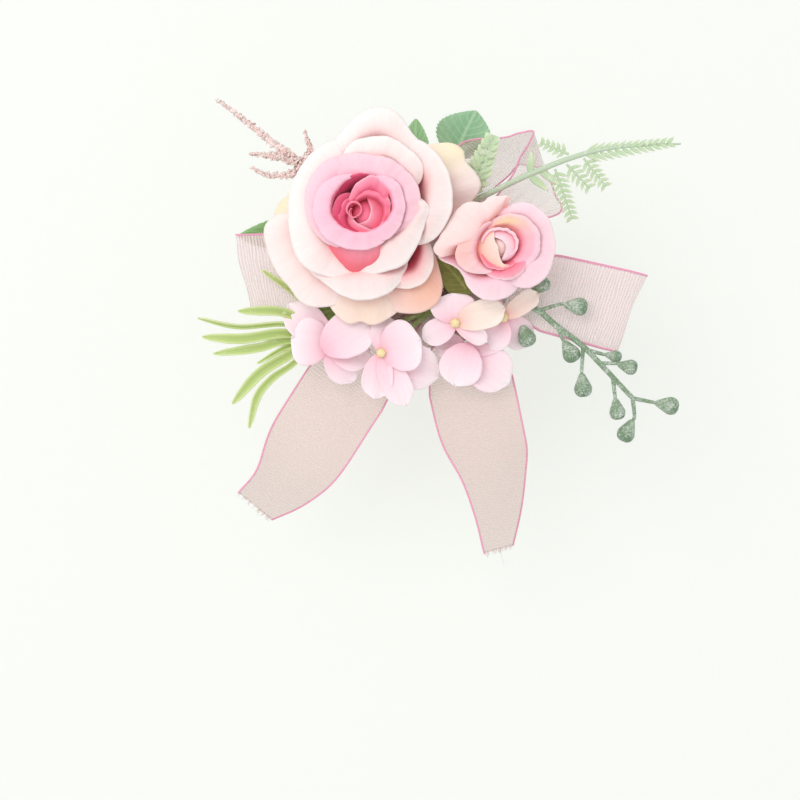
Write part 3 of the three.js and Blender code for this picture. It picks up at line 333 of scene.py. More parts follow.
def turned(profile, place, way, around=28, steps=40, stops=((0, (255, 255, 255)),), waves=0, depth=0.0):
    """Radius and height pairs on a smooth path, carried round an axis; waves ripple the radius."""
    share = np.linspace(0, 1, steps)
    radius, height = smooth_path(profile, share).T
    first, second, way = axis_frame(way)
    angle = circle(around)[:, None]
    radius = np.maximum(radius, 0) * (1 + depth * np.cos(waves * angle))
    radius[:, [0, -1]] *= profile[0][0] > 0, profile[-1][0] > 0
    points = np.asarray(place, float) + height[None, :, None] * way
    points = points + (radius * np.cos(angle))[..., None] * first
    points = points + (radius * np.sin(angle))[..., None] * second
    return {"points": points, "wrap": True, "tint": gradient(stops, share)[None]}


# %% [markdown]
# A look that several materials share goes into a node group with named sockets. Three small helpers
# read a piece's own tint and its place on the cloth, and turn a height into bumps.

# %% Node group helpers
def new_group(name, inputs, outputs):
    """An empty node group with named sockets of kind Float, Color or Vector."""
    group = bpy.data.node_groups.new(name, "ShaderNodeTree")
    for word, kind in inputs:
        group.interface.new_socket(name=word, in_out="INPUT", socket_type="NodeSocket" + kind)
    for word, kind in outputs:
        group.interface.new_socket(name=word, in_out="OUTPUT", socket_type="NodeSocket" + kind)
    start = group.nodes.new("NodeGroupInput")
    end = group.nodes.new("NodeGroupOutput")
    print("node group", name)
    return group, start.outputs, end.inputs


def place_group(tree, group, inputs):
    return node(tree, "Group", inputs, node_tree=group).outputs


def own_tint(tree):
    return node(tree, "Attribute", attribute_name="tint").outputs["Color"]


def own_cloth(tree):
    return node(tree, "UVMap", uv_map="cloth").outputs[0]


def bumped(tree, height, strength, distance):
    inputs = {"Height": height, "Strength": strength, "Distance": distance}
    return node(tree, "Bump", inputs).outputs[0]


# %% [markdown]
# Silk petals are dyed polyester cloth. Close up they show a fine weave and faint streaks along the
# petal, where the dye ran. A node group makes both from the cloth's own millimetres, and each petal
# colour comes from its tint, so one material serves every petal.

# %% Petal cloth
WEAVE_RADIANS_PER_MM, WEAVE_HEIGHT = 17.0, 0.06
silk_group, given, result = new_group(
    "dyed_silk", [("Tint", "Color"), ("Cloth", "Vector"), ("Streaks", "Float")],
    [("Color", "Color"), ("Height", "Float")])
stretched = node(silk_group, "Mapping", {"Vector": given["Cloth"], "Scale": (0.9, 0.11, 1.0)}).outputs[0]
streak = node(silk_group, "TexNoise", {"Vector": stretched, "Scale": 1.0, "Detail": 3.0}).outputs[0]
across = node(silk_group, "SeparateXYZ", {0: given["Cloth"]})
weft, warp = [maths(silk_group, "SINE", maths(silk_group, "MULTIPLY", part, WEAVE_RADIANS_PER_MM))
              for part in across.outputs[:2]]
weave = maths(silk_group, "MULTIPLY", maths(silk_group, "MULTIPLY", weft, warp), WEAVE_HEIGHT)
centred = maths(silk_group, "MULTIPLY", maths(silk_group, "SUBTRACT", streak, 0.5), given["Streaks"])
bright = maths(silk_group, "ADD", centred, 1.0)
dyed = node(silk_group, "VectorMath", {0: given["Tint"], 3: bright}, operation="SCALE").outputs[0]
silk_group.links.new(dyed, result["Color"])
silk_group.links.new(maths(silk_group, "ADD", weave, streak), result["Height"])


def silk(name, streaks, roughness=0.72):
    """Dyed silk-look cloth whose colour is the piece's own tint."""
    material, tree = new_material(name)
    inputs = {"Tint": own_tint(tree), "Cloth": own_cloth(tree), "Streaks": streaks}
    made = place_group(tree, silk_group, inputs)
    finish_material(tree, {
        "Base Color": made["Color"], "Roughness": roughness, "Specular IOR Level": 0.25,
        "Normal": bumped(tree, made["Height"], strength=0.25, distance=0.0004),
        "Sheen Weight": 0.15, "Sheen Roughness": 0.5,
        "Subsurface Weight": 0.1, "Subsurface Radius": (1.0, 0.6, 0.55), "Subsurface Scale": 0.0008})
    return material


petal_silk = silk("petal_silk", streaks=0.12)


# %% [markdown]
# A petal is stamped from cloth, pressed into a cup and rolled outward at its rim. Here each petal is
# listed by its rim: rows of angle, radius, height and lip round the flower's middle. The lip is how far
# inside the rim the cloth turns over. For each rim point a smooth curve runs from the foot through a
# belly and over that turn to the rim. The corners are rounded by stopping the curve early there. A
# petal could also be sculpted, but rows of a rim can be measured and changed one at a time.

# %% Petals
SILK_THICKNESS = 0.22


def together(*parts):
    """Arrays stretched to one shape and laid side by side, as the parts of a place."""
    return np.stack(np.broadcast_arrays(*parts), -1)


def petal(middle, foot, rim, stops, belly=0.62, waist=0.62, root=3.2, rise=0.28, sharp=7, patch=None,
          ruffle=0.2, across=56, along=34):
    """Four rows per rim point: foot ring, belly, turn of the lip, rim. The last part is left out at
    the corners, where a share that falls off like a rounded square stops the curve. Root is the size
    of the foot ring, belly and waist place the second row, rise lifts the turn of the lip, and sharp
    squares the corners. A patch is a place, a reach and a colour, blended in like a bell."""
    u = 0.5 - 0.5 * np.cos(np.pi * np.linspace(0, 1, across))
    angle, radius, height, lip = smooth_path(rim, u).T
    turn = np.radians(angle)
    ripple = np.sin(0.21 * angle + radius.mean()) + 0.5 * np.sin(0.53 * angle)
    wave = ruffle * ripple * np.sin(np.pi * u)
    out = np.stack([np.cos(turn), np.sin(turn), 0 * turn], 1)
    edge = np.array([*middle, 0]) + (radius + 0.6 * wave)[:, None] * out
    edge[:, 2] = height + 1.2 * wave
    crest = edge - lip[:, None] * out + np.outer(rise * np.abs(lip) * np.sign(lip + 1e-6), [0, 0, 1])
    narrow = np.radians(angle.mean() + 0.7 * (angle - angle.mean()))
    base = np.array(foot) + root * np.stack([np.cos(narrow), np.sin(narrow), 0 * turn], 1)
    low = base + (crest - base) * [belly, belly, waist]
    full = np.maximum((1 - np.abs(2 * u - 1) ** sharp) ** (1 / sharp), 0.2)
    share = full[:, None] * np.linspace(0, 1, along)
    points = smooth_family(np.stack([base, low, crest, edge]), share)
    tint = gradient(stops, share)
    if patch:
        at, reach, colour = patch
        near = np.exp(-((u[:, None] - at[0]) / reach[0]) ** 2 - ((share - at[1]) / reach[1]) ** 2)
        tint = tint + (screen(*colour) - tint) * near[..., None]
    cloth_across = (u[:, None] - 0.5) * np.ptp(turn) * radius.mean()
    cloth_along = share * np.linalg.norm(edge - base, axis=1).mean()
    return {"points": points, "tint": tint, "cloth": together(cloth_across, cloth_along)}


# %% [markdown]
# The rose has a deep pink heart of tight wraps, two lilac rings with rolled rims, a collar of pale
# petals, and an outer layer that fades to peach and cream. Each layer has its own fade, darker towards the
# foot: partly the dye, and partly painted shade for the recesses between the petals, where shade falls.
# The rows are measured round the flower, and each layer stands where its CAD layer is.

# %% Rose heart
HEART_MIDDLE, HEART_FOOT_Z = (-20.9, 13.9), 29
# The dark foot of this heart fade is painted shade, for the dark gaps between the wraps.
DEEP = [(0, (200, 54, 94)), (0.4, (232, 94, 128)), (0.67, (247, 126, 154)), (0.9, (252, 154, 178)),
        (1, (254, 198, 211))]
# The next fade is painted shade, darker throughout, for the wraps and the wall in the gap round the heart.
PAINTED_SHADE = [(0, (176, 36, 76)), (0.5, (206, 62, 100)), (0.8, (224, 88, 122)), (0.93, (236, 116, 146)),
         (1, (250, 178, 196))]


def wrap(rim, stops=DEEP, **more):
    """A heart petal, which starts higher and closer than the others."""
    return petal(HEART_MIDDLE, (*HEART_MIDDLE, HEART_FOOT_Z), rim, stops, root=4.8, **more)


CLOSED = {"rise": 0.85, "belly": 1.0, "waist": 0.4, "ruffle": 0}
CONE = {"belly": 0.62, "waist": 0.8}
core_profile = [(0, -9), (5.2, -9), (5.7, -5), (5.2, -2), (3.6, 0.2), (1.5, 1.5), (0, 1.8)]
CORE = [(0, (208, 66, 104)), (0.6, (238, 106, 138)), (1, (249, 134, 162))]
core = turned(core_profile, (*HEART_MIDDLE, 36.8), (0.05, -0.05, 1), around=40, stops=CORE)
CURL = (HEART_MIDDLE[0] - 3.7, HEART_MIDDLE[1] + 1.7)
heart = [
    wrap([(-153, 2.8, 38.9, -3.6), (-92, 1.4, 39.3, -5), (-30, 0.8, 39.4, -5.6), (28, 1.2, 39.4, -5.2),
          (62, 2.6, 39.2, -3.8), (92, 4.2, 38.6, -2.2)], **CLOSED),
    wrap([(140, 5.8, 37.8, -1.2), (200, 4.4, 38.7, -2.6), (250, 3.6, 39, -3.4), (296, 5, 38.5, -2),
          (332, 6, 37.4, -1)], **CLOSED),
    petal(CURL, (*CURL, 33.5), [(-215, 1.5, 39, 0.2), (-130, 2.8, 39.6, 0.4), (-60, 2, 39.7, 0.3),
                                (20, 2.1, 39.9, 0.3), (110, 3.1, 40.2, 0.5), (165, 3.2, 40, 0.5),
                                (215, 3, 39.6, 0.4)], DEEP, root=1.5, ruffle=0, belly=0.8),
    wrap([(-40, 5.8, 37.4, 0.8), (-6, 6.7, 38.8, 1.2), (33, 8.8, 39.8, 2), (68, 8.7, 40.2, 1.8),
          (104, 8.3, 39.8, 1.6), (138, 6.6, 38.2, 1)], **CONE),
    wrap([(22, 8, 38, 1.4), (44, 9.8, 39.6, 2), (64, 11.8, 40.8, 2.6), (82, 13, 41.4, 3),
          (102, 11.4, 40.8, 2.6), (124, 9.4, 39.6, 2), (152, 7.4, 38, 1.2)], sharp=5, **CONE),
    wrap([(108, 7.4, 37.4, 1), (142, 8.6, 38.8, 1.6), (172, 9.1, 39, 1.8), (200, 9.6, 38.7, 1.8),
          (226, 8.2, 38, 1.6), (258, 6.2, 36.8, 0.8)], PAINTED_SHADE, **CONE),
    wrap([(122, 9.6, 37.6, 1.6), (150, 11.4, 38.6, 2), (178, 11.2, 38.7, 2), (206, 10.2, 38.2, 1.8),
          (232, 8.2, 37.4, 1.4), (258, 6.6, 36.4, 1)], PAINTED_SHADE, **CONE),
]
print("heart of", len(heart), "wraps")

# %% [markdown]
# Two rings stand round the heart. Their rims roll outward and show a pale lilac edge, and one petal
# of the second ring leans inward over the front of the heart. Its coral is painted shade, for the
# shadow on its outer face, and the first petal of ring one has the darker painted shade of the heart.

# %% Rose rings
ROSE_MIDDLE, ROSE_FOOT = (-21.5, 14.9), (-18.3, 15.6, 14.2)
LILAC = [(0, (200, 52, 92)), (0.33, (236, 94, 130)), (0.55, (251, 152, 178)), (0.67, (254, 192, 211)),
         (1, (255, 208, 222))]
RING = [(0, (226, 76, 110)), (0.33, (248, 134, 160)), (0.58, (253, 184, 202)), (0.7, (254, 200, 214)),
        (1, (255, 212, 222))]
# This fade is painted shade: its coral stands for shadow on the outer face of the leaning petal.
CORAL_SHADE = [(0, (226, 70, 82)), (0.45, (242, 94, 108)), (0.75, (248, 120, 136)), (1, (253, 162, 180))]


def rose(rim, stops, **more):
    return petal(ROSE_MIDDLE, ROSE_FOOT, rim, stops, **more)


ring_one = [
    rose([(10, 12, 38.2, 1), (40, 13, 39.4, 1.2), (74, 12.8, 39.8, 1), (104, 13, 39.8, 1),
          (134, 14, 39.4, 1.4), (166, 14, 38, 1.6)], PAINTED_SHADE, **CONE),
    rose([(88, 12, 38.6, 0.6), (117, 14.2, 39.6, 2), (141, 16.4, 40, 4.2), (160, 17.2, 40.2, 5),
          (180, 17, 40.2, 5.2), (198, 16.2, 40, 5.6), (217, 15.1, 40, 6), (238, 13.5, 40, 5.6),
          (260, 12.5, 40, 5.4), (284, 11.9, 39.8, 5.2), (310, 11.6, 39.2, 4.8), (334, 10.6, 38, 4)],
         LILAC, belly=0.84, waist=0.8),
    rose([(-76, 11.2, 38.8, 4.6), (-46, 11.8, 40.2, 4.8), (-20, 12.2, 40.8, 4.2), (2, 12.9, 41, 3.6),
          (24, 13.7, 41.2, 3.4), (44, 14.2, 41, 3.2), (64, 13.4, 40.4, 2.2), (90, 11.4, 39, 0.8)], LILAC,
         **CONE),
]
ring_two = [
    rose([(192, 11, 36.6, -3), (226, 11.6, 38, -5), (258, 11.8, 38.2, -6.6), (280, 11.4, 38, -5),
          (300, 10.8, 37.6, -2.4), (322, 10, 36.6, -1)], CORAL_SHADE, belly=1.15, waist=0.42, rise=0.8),
    rose([(14, 17, 37, 5), (44, 19.3, 38.2, 5.6), (66, 19.3, 38.8, 6), (92, 19.3, 38.8, 6),
          (117, 20.5, 38.4, 5.6), (150, 19.6, 37, 5)], RING, **CONE),
    rose([(88, 18.4, 37, 5), (114, 20.6, 38.2, 5), (134, 21.3, 38.8, 4.8), (152, 21, 38.8, 4.4),
          (170, 20, 38.6, 3.8), (190, 18.5, 38.2, 3), (212, 16.8, 37.4, 2.4), (242, 13.6, 35.6, 2)], RING,
         **CONE),
    rose([(-52, 12.4, 36, 2), (-22, 14.6, 37.6, 2.6), (-2, 16.8, 38.4, 4), (18, 18.7, 38.8, 5),
          (40, 19.4, 38.6, 5), (70, 17.6, 37, 5)], RING, **CONE),
]
print("rings of", len(ring_one), "and", len(ring_two), "petals")

# %% [markdown]
# Round the rings stands the collar, whose pale petals roll far outward, and below it lie the outer
# petals, which are almost flat. A patch of another dye gives some of them a cream or a peach edge. One
# small petal is painted deep red inside: painted shade for the dark gap beside the folded collar petal.

# %% Rose collar and outer petals
# The dark foot of the collar fade is partly dye and partly painted shade for the gaps between petals.
COLLAR = [(0, (218, 78, 94)), (0.25, (243, 114, 121)), (0.48, (254, 174, 175)), (0.62, (255, 211, 209)),
          (0.8, (255, 233, 230)), (1, (255, 243, 240))]
# This fade is painted shade: a deep red foot for the dark gap beside the folded collar petal.
CRIMSON_SHADE = [(0, (140, 30, 52)), (0.45, (168, 44, 66)), (0.6, (204, 88, 102)), (0.7, (252, 190, 190)),
           (0.85, (255, 222, 219)), (1, (255, 238, 234))]
OUTER = [(0, (248, 152, 144)), (0.3, (254, 206, 199)), (0.6, (255, 226, 222)), (1, (255, 238, 234))]
collar = [
    rose([(26, 21, 34, 5), (40, 24.6, 36, 5.4), (56, 25.4, 36.8, 5.6), (70, 26, 37, 6), (86, 25, 37, 5.8),
          (100, 23.7, 36.6, 5), (118, 19.6, 35, 4)], COLLAR),
    rose([(132, 24, 31, 6), (114, 26.6, 32.6, 7), (101, 30, 33.2, 8), (91, 33.8, 33.4, 8),
          (80, 35.5, 33.4, 8), (70, 33.9, 33.4, 8), (60, 30.8, 33, 7), (48, 29.8, 32.4, 6),
          (32, 27, 30, 5)], COLLAR, sharp=5),
    rose([(72, 27, 31, 6), (56, 29.9, 33, 6), (44, 30.6, 34.2, 5.8), (30, 30.3, 35, 5.8),
          (15, 29.5, 35.4, 7.4), (2, 28.2, 35.4, 7.6), (-8, 26.4, 34.6, 6.6), (-18, 24.8, 33, 5),
          (-32, 21.4, 31, 3.4)], COLLAR, sharp=7),
    rose([(88, 24, 31, 7), (110, 26.6, 33, 8.6), (135, 26.5, 34, 9), (161, 25.8, 34.4, 9),
          (188, 25.3, 34.4, 9.2), (210, 26.6, 33.6, 9.6), (225, 26, 32.6, 9), (239, 24, 31.4, 7),
          (252, 22, 30.6, 4), (264, 20.4, 30, 1)], COLLAR, sharp=9),
    rose([(250, 21, 29.4, 0.4), (263, 20.2, 30.6, 2), (275, 20, 32, 5.6), (294, 20.2, 34, 8),
          (310, 21, 35, 9), (326, 20, 35.6, 7.2), (342, 19.8, 36.4, 5.4), (354, 20, 37.2, 4),
          (366, 20.8, 37.8, 3), (380, 17.6, 37, 2)], COLLAR, sharp=11, rise=0.38),
    rose([(210, 22, 27, 1), (223, 25.8, 29, 1), (239, 26.3, 29.8, 3), (254, 27.6, 30, 6.2),
          (266, 28.4, 30, 8), (280, 27.4, 30, 7), (293, 25.8, 29.8, 4.6), (307, 22.4, 29, 1.4),
          (322, 17, 27.4, 1)], COLLAR, sharp=9, rise=0.36),
]
outer = [
    rose([(62, 28, 25, 6), (49, 31.5, 26, 8), (41, 36.8, 26, 10), (34, 38.8, 26, 10),
          (28, 37.4, 25.6, 10), (21, 39.2, 25.2, 10), (14, 39.2, 24.8, 10), (6, 34.6, 24, 8),
          (-8, 27, 23.4, 6)], OUTER, patch=((0.32, 1), (0.22, 0.45), (253, 238, 206)), sharp=9),
    rose([(172, 24, 25, 6), (184, 33, 25, 9), (195, 34.4, 24.2, 9), (208, 34.9, 23.6, 9),
          (222, 34.6, 23.2, 9), (234, 35.8, 22.8, 9), (246, 33, 22.6, 8), (264, 27, 23, 6)], OUTER,
         sharp=9),
    rose([(148, 22, 25, 5), (164, 26.6, 25, 6), (175, 29.8, 24.6, 6), (184, 29.4, 24, 6),
          (196, 25, 24, 5)], OUTER, patch=((0.5, 1), (0.4, 0.4), (252, 232, 200))),
    rose([(236, 28, 22, 6), (250, 33, 22, 8), (260, 36.2, 21.8, 9), (267, 34.9, 21.6, 8),
          (273, 36, 21.6, 9), (282, 34.8, 21.8, 8), (293, 32, 22, 7), (308, 27, 22, 6)], OUTER,
         patch=((0.5, 0.85), (0.5, 0.35), (255, 226, 208)), sharp=9),
    rose([(276, 28, 22, 6), (287, 33, 22.2, 8), (298, 36.4, 22.6, 9), (308, 37.2, 23, 9),
          (317, 34.8, 23.6, 8), (325, 29.6, 24, 6), (338, 23, 24, 5)], OUTER,
         patch=((0.6, 0.8), (0.5, 0.4), (252, 194, 172)), sharp=9),
    rose([(282, 22, 26, 3), (293, 26, 27.4, 4), (302, 28.4, 28.4, 5), (312, 29.3, 28.6, 5),
          (322, 28.2, 28.8, 5), (332, 25, 28.8, 4), (344, 20, 28, 3)], CRIMSON_SHADE),
]
for name, grids, slot, node_name in [
        ("rose_heart_wraps", heart, "heart", "rose_heart"),
        ("rose_ring_one", ring_one, "inner_petal", "rose_petals_1"),
        ("rose_ring_two", ring_two, "inner_petal", "rose_petals_2"),
        ("rose_collar", collar, "outer_petal", "rose_petals_3"),
        ("rose_outer_petals", outer, "outer_petal", "rose_petals_4")]:
    fixed(name, grids, petal_silk, [node_name], SILK_THICKNESS)
fixed("rose_heart_core", [core], petal_silk)


# %% [markdown]
# The rosebud is made the same way with fewer petals. Its wing folds over towards the rose, its lip
# rolls down towards the florets, and its inside is a warm pink with a patch of peach. That inside is
# kept light down to its foot, which is painted light for light shining through the thin petals.

# %% Rosebud
BUD_MIDDLE, BUD_FOOT = (23.0, 5.0), (20.9, 5.0, 13.4)
BUD_HEART_FOOT_Z = 22
PEACH = [(0, (240, 112, 112)), (0.45, (252, 172, 156)), (0.7, (254, 208, 190)), (1, (255, 226, 214))]
BLUSH = [(0, (244, 118, 136)), (0.33, (253, 158, 172)), (0.58, (254, 190, 203)), (0.7, (255, 210, 221)),
         (1, (255, 226, 233))]
# This fade stays light down to its foot: painted light, for light shining through the thin petals.
GLOW = [(0, (250, 136, 152)), (0.33, (255, 172, 188)), (0.58, (255, 192, 207)), (0.75, (255, 208, 222)),
        (1, (255, 222, 231))]
ROSY = [(0, (242, 106, 128)), (0.5, (252, 134, 156)), (0.78, (254, 162, 180)), (0.92, (255, 200, 212)),
        (1, (255, 226, 233))]
WING = [(0, (240, 110, 104)), (0.35, (252, 160, 146)), (0.6, (254, 206, 204)), (1, (254, 230, 226))]


def bud(rim, stops, **more):
    return petal(BUD_MIDDLE, BUD_FOOT, rim, stops, **more)


def bud_wrap(rim, stops, **more):
    """A petal of the bud's heart."""
    return petal(BUD_MIDDLE, (*BUD_MIDDLE, BUD_HEART_FOOT_Z), rim, stops, root=4.4, **more)


bud_core_profile = [(0, -9), (4.4, -9), (4.9, -5), (4.4, -2), (3, 0), (1.2, 1.3), (0, 1.6)]
BUD_CORE = [(0, (250, 150, 144)), (0.6, (255, 206, 200)), (1, (255, 224, 222))]
bud_core = turned(bud_core_profile, (*BUD_MIDDLE, 32.6), (0.05, 0.05, 1), around=36, steps=36,
                  stops=BUD_CORE)
bud_heart = [
    bud_wrap([(-60, 4.6, 32.2, 0.3), (-20, 5.4, 33.4, 0.6), (20, 5.6, 34.2, 0.8), (60, 5.4, 34.6, 0.8),
              (96, 5.4, 34.8, 0.8), (134, 6.2, 34.4, 0.6), (176, 6.8, 33, 0.4)], BLUSH, **CONE),
    bud_wrap([(-92, 4.2, 32.8, -1), (-62, 2.6, 34, -2.6), (-20, 1.4, 34.9, -3.8), (40, 0.9, 35.2, -4.3),
              (100, 1.4, 35, -3.8), (150, 2.6, 34.6, -2.6)], BLUSH, **CLOSED),
    bud_wrap([(104, 4.8, 33.4, -2.4), (138, 3.1, 34.9, -4.8), (180, 1.7, 35.3, -6.4),
              (225, 1.5, 35.2, -6.6), (255, 3.2, 34.4, -4.6), (275, 6.2, 33, -1.6),
              (292, 6.8, 31.4, -0.6)], PEACH, **CLOSED),
    bud_wrap([(206, 7.6, 31.6, 0.2), (232, 8.6, 32.4, 0.4), (262, 8.4, 32, 0.4), (292, 8, 31.6, 0.4),
              (322, 7.2, 30.8, 0.2)], ROSY, **CONE),
]
bud_inner = [
    bud([(130, 8, 32.4, 1), (92, 9.4, 33.6, 1.4), (56, 11.4, 34, 1.6), (22, 12.8, 33.8, 1.6),
         (-10, 12.6, 33.2, 1.6), (-42, 11.2, 31.4, 1.4), (-80, 9, 28.8, 1)], GLOW,
        patch=((0.24, 0.55), (0.2, 0.3), (255, 208, 172)), belly=0.56, waist=0.9),
    bud([(112, 8.6, 33.4, 1), (142, 10.2, 34.6, 2), (166, 12.4, 34.4, 3.6), (184, 14.6, 33.4, 5),
         (200, 15.8, 32.4, 5.6), (214, 14.8, 32, 4.4), (230, 12.6, 31.6, 2.6), (252, 10, 30.8, 1)], BLUSH,
        patch=((0.45, 0.85), (0.4, 0.3), (253, 196, 190)), **CONE),
    bud([(224, 10.4, 29.4, 1), (256, 11.2, 31, 1.6), (284, 11.8, 32.1, 2), (306, 11.6, 32.2, 2),
         (334, 9.6, 31.6, 1)], ROSY, **CONE),
]
bud_outer = [
    bud([(150, 9, 29.6, 1), (110, 11.2, 31.6, 2), (82, 13, 32, 3.4), (64, 15.4, 31.6, 4),
         (46, 17.2, 31.2, 4.6), (26, 17.8, 30.8, 4.4), (4, 17.8, 30.6, 4.6), (-18, 18, 30.4, 5.4),
         (-40, 18.2, 30, 6.6), (-60, 17, 29.6, 6), (-90, 12.6, 28.4, 3)], BLUSH, **CONE),
    bud([(79, 15.4, 34, 0.4), (84, 15.9, 34.6, 1), (91, 15.7, 34.8, 3), (102, 15.6, 34.8, 4.4),
         (116, 15.2, 34.6, 5), (128, 17.4, 34.2, 7), (145, 18.8, 33.6, 8.8), (160, 19.2, 33.2, 9.4),
         (174, 20.6, 32.8, 9), (184, 22.4, 32.2, 5), (192, 21, 31.2, 2)], WING, sharp=13, **CONE),
    bud([(176, 18, 28.4, 1), (190, 21, 29, 1), (204, 17, 29, 1), (219, 16, 28.6, 1.6),
         (235, 17.9, 28.4, 3.6), (250, 18.7, 28.2, 5.6), (266, 18.3, 28.2, 7), (284, 16.4, 28.2, 5),
         (308, 12.4, 27.4, 2)], BLUSH, rise=0.4, sharp=11, **CONE),
]
for name, grids, slot, node_name in [
        ("bud_heart_wraps", bud_heart, "heart", "bud_heart"),
        ("bud_inner_petals", bud_inner, "bud_petal", "bud_petals_1"),
        ("bud_outer_petals", bud_outer, "bud_petal", "bud_petals_2")]:
    fixed(name, grids, petal_silk, [node_name], SILK_THICKNESS)
fixed("bud_heart_core", [bud_core], petal_silk)


# %% [markdown]
# The greenery is moulded plastic, and most of it carries a pale dusty bloom. A node group makes that
# frost from noise in the object's own space: it puts out a mask, for colour and roughness, and a height.

# %% Frost and moulded plastic
BROAD_GRAIN, FROST_START, FROST_SHARPNESS = 260.0, 1.25, 5.0
frost_group, given, result = new_group(
    "frost", [("Amount", "Float"), ("Grain", "Float")], [("Mask", "Float"), ("Height", "Float")])
spot = own_place(frost_group)
fine = node(frost_group, "TexNoise", {"Vector": spot, "Scale": given["Grain"], "Detail": 4.0,
                                      "Roughness": 0.7}).outputs[0]
broad = node(frost_group, "TexNoise", {"Vector": spot, "Scale": BROAD_GRAIN, "Detail": 2.0}).outputs[0]
speckle = maths(frost_group, "ADD", fine, maths(frost_group, "MULTIPLY", broad, 0.5))
edge = maths(frost_group, "SUBTRACT", FROST_START, given["Amount"])
over = maths(frost_group, "MULTIPLY", maths(frost_group, "SUBTRACT", speckle, edge), FROST_SHARPNESS)
mask = node(frost_group, "Clamp", {0: over}).outputs[0]
frost_group.links.new(mask, result["Mask"])
frost_group.links.new(maths(frost_group, "ADD", mask, maths(frost_group, "MULTIPLY", fine, 0.6)),
                      result["Height"])


def moulded(name, frost_colour, amount, grain, roughness, rough_frost=0.8, distance=0.0003):
    """Moulded plastic in the piece's own tint, with a bloom of frost on it."""
    material, tree = new_material(name)
    frost = place_group(tree, frost_group, {"Amount": amount, "Grain": grain})
    colour = mixed(tree, frost["Mask"], own_tint(tree), rgba(*frost_colour))
    rough = node(tree, "MapRange", {0: frost["Mask"], 3: roughness, 4: rough_frost}).outputs[0]
    finish_material(tree, {"Base Color": colour, "Roughness": rough, "Specular IOR Level": 0.45,
                           "Normal": bumped(tree, frost["Height"], strength=0.5, distance=distance)})
    return material


stem_plastic = moulded("stem_plastic", (176, 192, 140), amount=0.55, grain=900.0, roughness=0.45)


# %% [markdown]
# Under each flower sits a green plastic calyx: a short stem, a cup and five pointed sepals. It is
# turned about the flower's leaning axis, and its sepals are small blades on the same axis. It hardly
# shows from above, but it is what holds a flower to the base.

# %% Calyxes
SEPAL_THICKNESS = 0.4


def grid_shares(across, along):
    """Shares across a grid, from -1 to 1, and along it, from 0 to 1."""
    return np.linspace(-1, 1, across)[:, None], np.linspace(0, 1, along)[None]


def calyx(place, way, stem, cup, height, sepal):
    """A turned stem and cup from the disc up, and five blades that spread from the cup's rim."""
    bottom = -height - stem[1]
    green = [(0, (120, 150, 84)), (0.6, (132, 166, 92)), (1, (150, 180, 104))]
    body = turned([(0, bottom), (stem[0], bottom), (stem[0], -height - 0.6), (0.8 * cup, -0.6 * height),
                   (cup, -0.2), (0.8 * cup, 0.1), (0, 0.1)], place, way, around=24, stops=green)
    first, second, axis = axis_frame(way)
    turn = circle(5)[:, None, None]
    u, v = grid_shares(7, 12)
    reach = 0.7 * cup + v * (0.3 * cup + sepal)
    side = 1.8 * u * np.sin(np.pi * (0.2 + 0.8 * v)) ** 0.7
    drop = -0.5 - 0.35 * height * v - 0.6 * v ** 2 + 0.25 * u ** 2
    spread = ((reach * np.cos(turn) - side * np.sin(turn))[..., None] * first
              + (reach * np.sin(turn) + side * np.cos(turn))[..., None] * second + drop[..., None] * axis)
    return body, {"points": np.array(place) + spread, "tint": screen(128, 164, 92)}


ROSE_WAY, ROSE_CALYX = (-0.156, -0.026, 0.987), (-18.0, 15.6, 13.1)
BUD_WAY, BUD_CALYX = (0.105, -0.035, 0.994), (20.7, 5.0, 12.6)
for name, node_name, parts in [
        ("rose_calyx_cup", "rose_calyx",
         calyx(ROSE_CALYX, ROSE_WAY, stem=(1.4, 3.6), cup=4.4, height=4.0, sepal=4.0)),
        ("bud_calyx_cup", "bud_calyx",
         calyx(BUD_CALYX, BUD_WAY, stem=(1.3, 3.4), cup=4.0, height=3.6, sepal=2.2))]:
    fixed(name, [parts[0]], stem_plastic, [node_name])
    fixed(name.replace("cup", "sepals"), [parts[1]], stem_plastic, (), SEPAL_THICKNESS)


# %% [markdown]
# Hydrangea florets have four or five broad petals on a thin stalk and a small bead in the middle. Each
# petal is a spoon: narrow at the claw, round at the tip, dished across and drooping along. The rows give
# each petal's turn, length, width and the lift of its tip. A petal that hides its bead also has how far
# it reaches back past the middle. The last entry of a floret lists its cream petals.

# %% Hydrangea
FLORET = [(0, (248, 184, 200)), (0.3, (254, 214, 225)), (0.7, (255, 229, 236)), (1, (255, 240, 244))]
CREAM = [(0, (250, 196, 186)), (0.4, (255, 230, 218)), (1, (255, 244, 232))]


def spoon(centre, turn, length, width, lift, back=0.0, dish=1.2, stops=FLORET, across=22, along=30):
    """Half width grows from a claw to a round tip, and the claw may start behind the middle. Height is
    a lift, a dish across, a droop towards the tip and a slight wave."""
    u, v = grid_shares(across, along)
    v = 1 - (1 - v) ** 1.8
    grow = np.interp(v, [0, 0.06, 0.14, 0.3, 0.5, 0.62], [0.16, 0.42, 0.62, 0.87, 0.98, 1])
    reach = min(0.42, 0.55 * width / length)
    tip = (1 - np.clip((v - 1 + reach) / reach, 0, 1) ** 2.3) ** (1 / 2.3)
    half = 0.5 * width * grow * np.maximum(tip, 0.02)
    out, side = ((length + back) * v - back) * (1 - 0.05 * u ** 2), half * u
    height = lift * v + 1.15 * back * (1 - v) + dish * (u * half * 2 / width) ** 2
    height = height - 0.18 * length * v ** 3 + 0.35 * np.sin(5 * u + turn) * v ** 2
    angle = np.radians(turn)
    x = centre[0] + out * np.cos(angle) - side * np.sin(angle)
    y = centre[1] + out * np.sin(angle) + side * np.cos(angle)
    points = together(x, y, centre[2] + height)
    share = np.broadcast_to(v, (across, along))
    tint = gradient(stops, np.clip(share + 0.06 * np.abs(u), 0, 1))
    return {"points": points, "tint": tint, "cloth": together(side, out)}


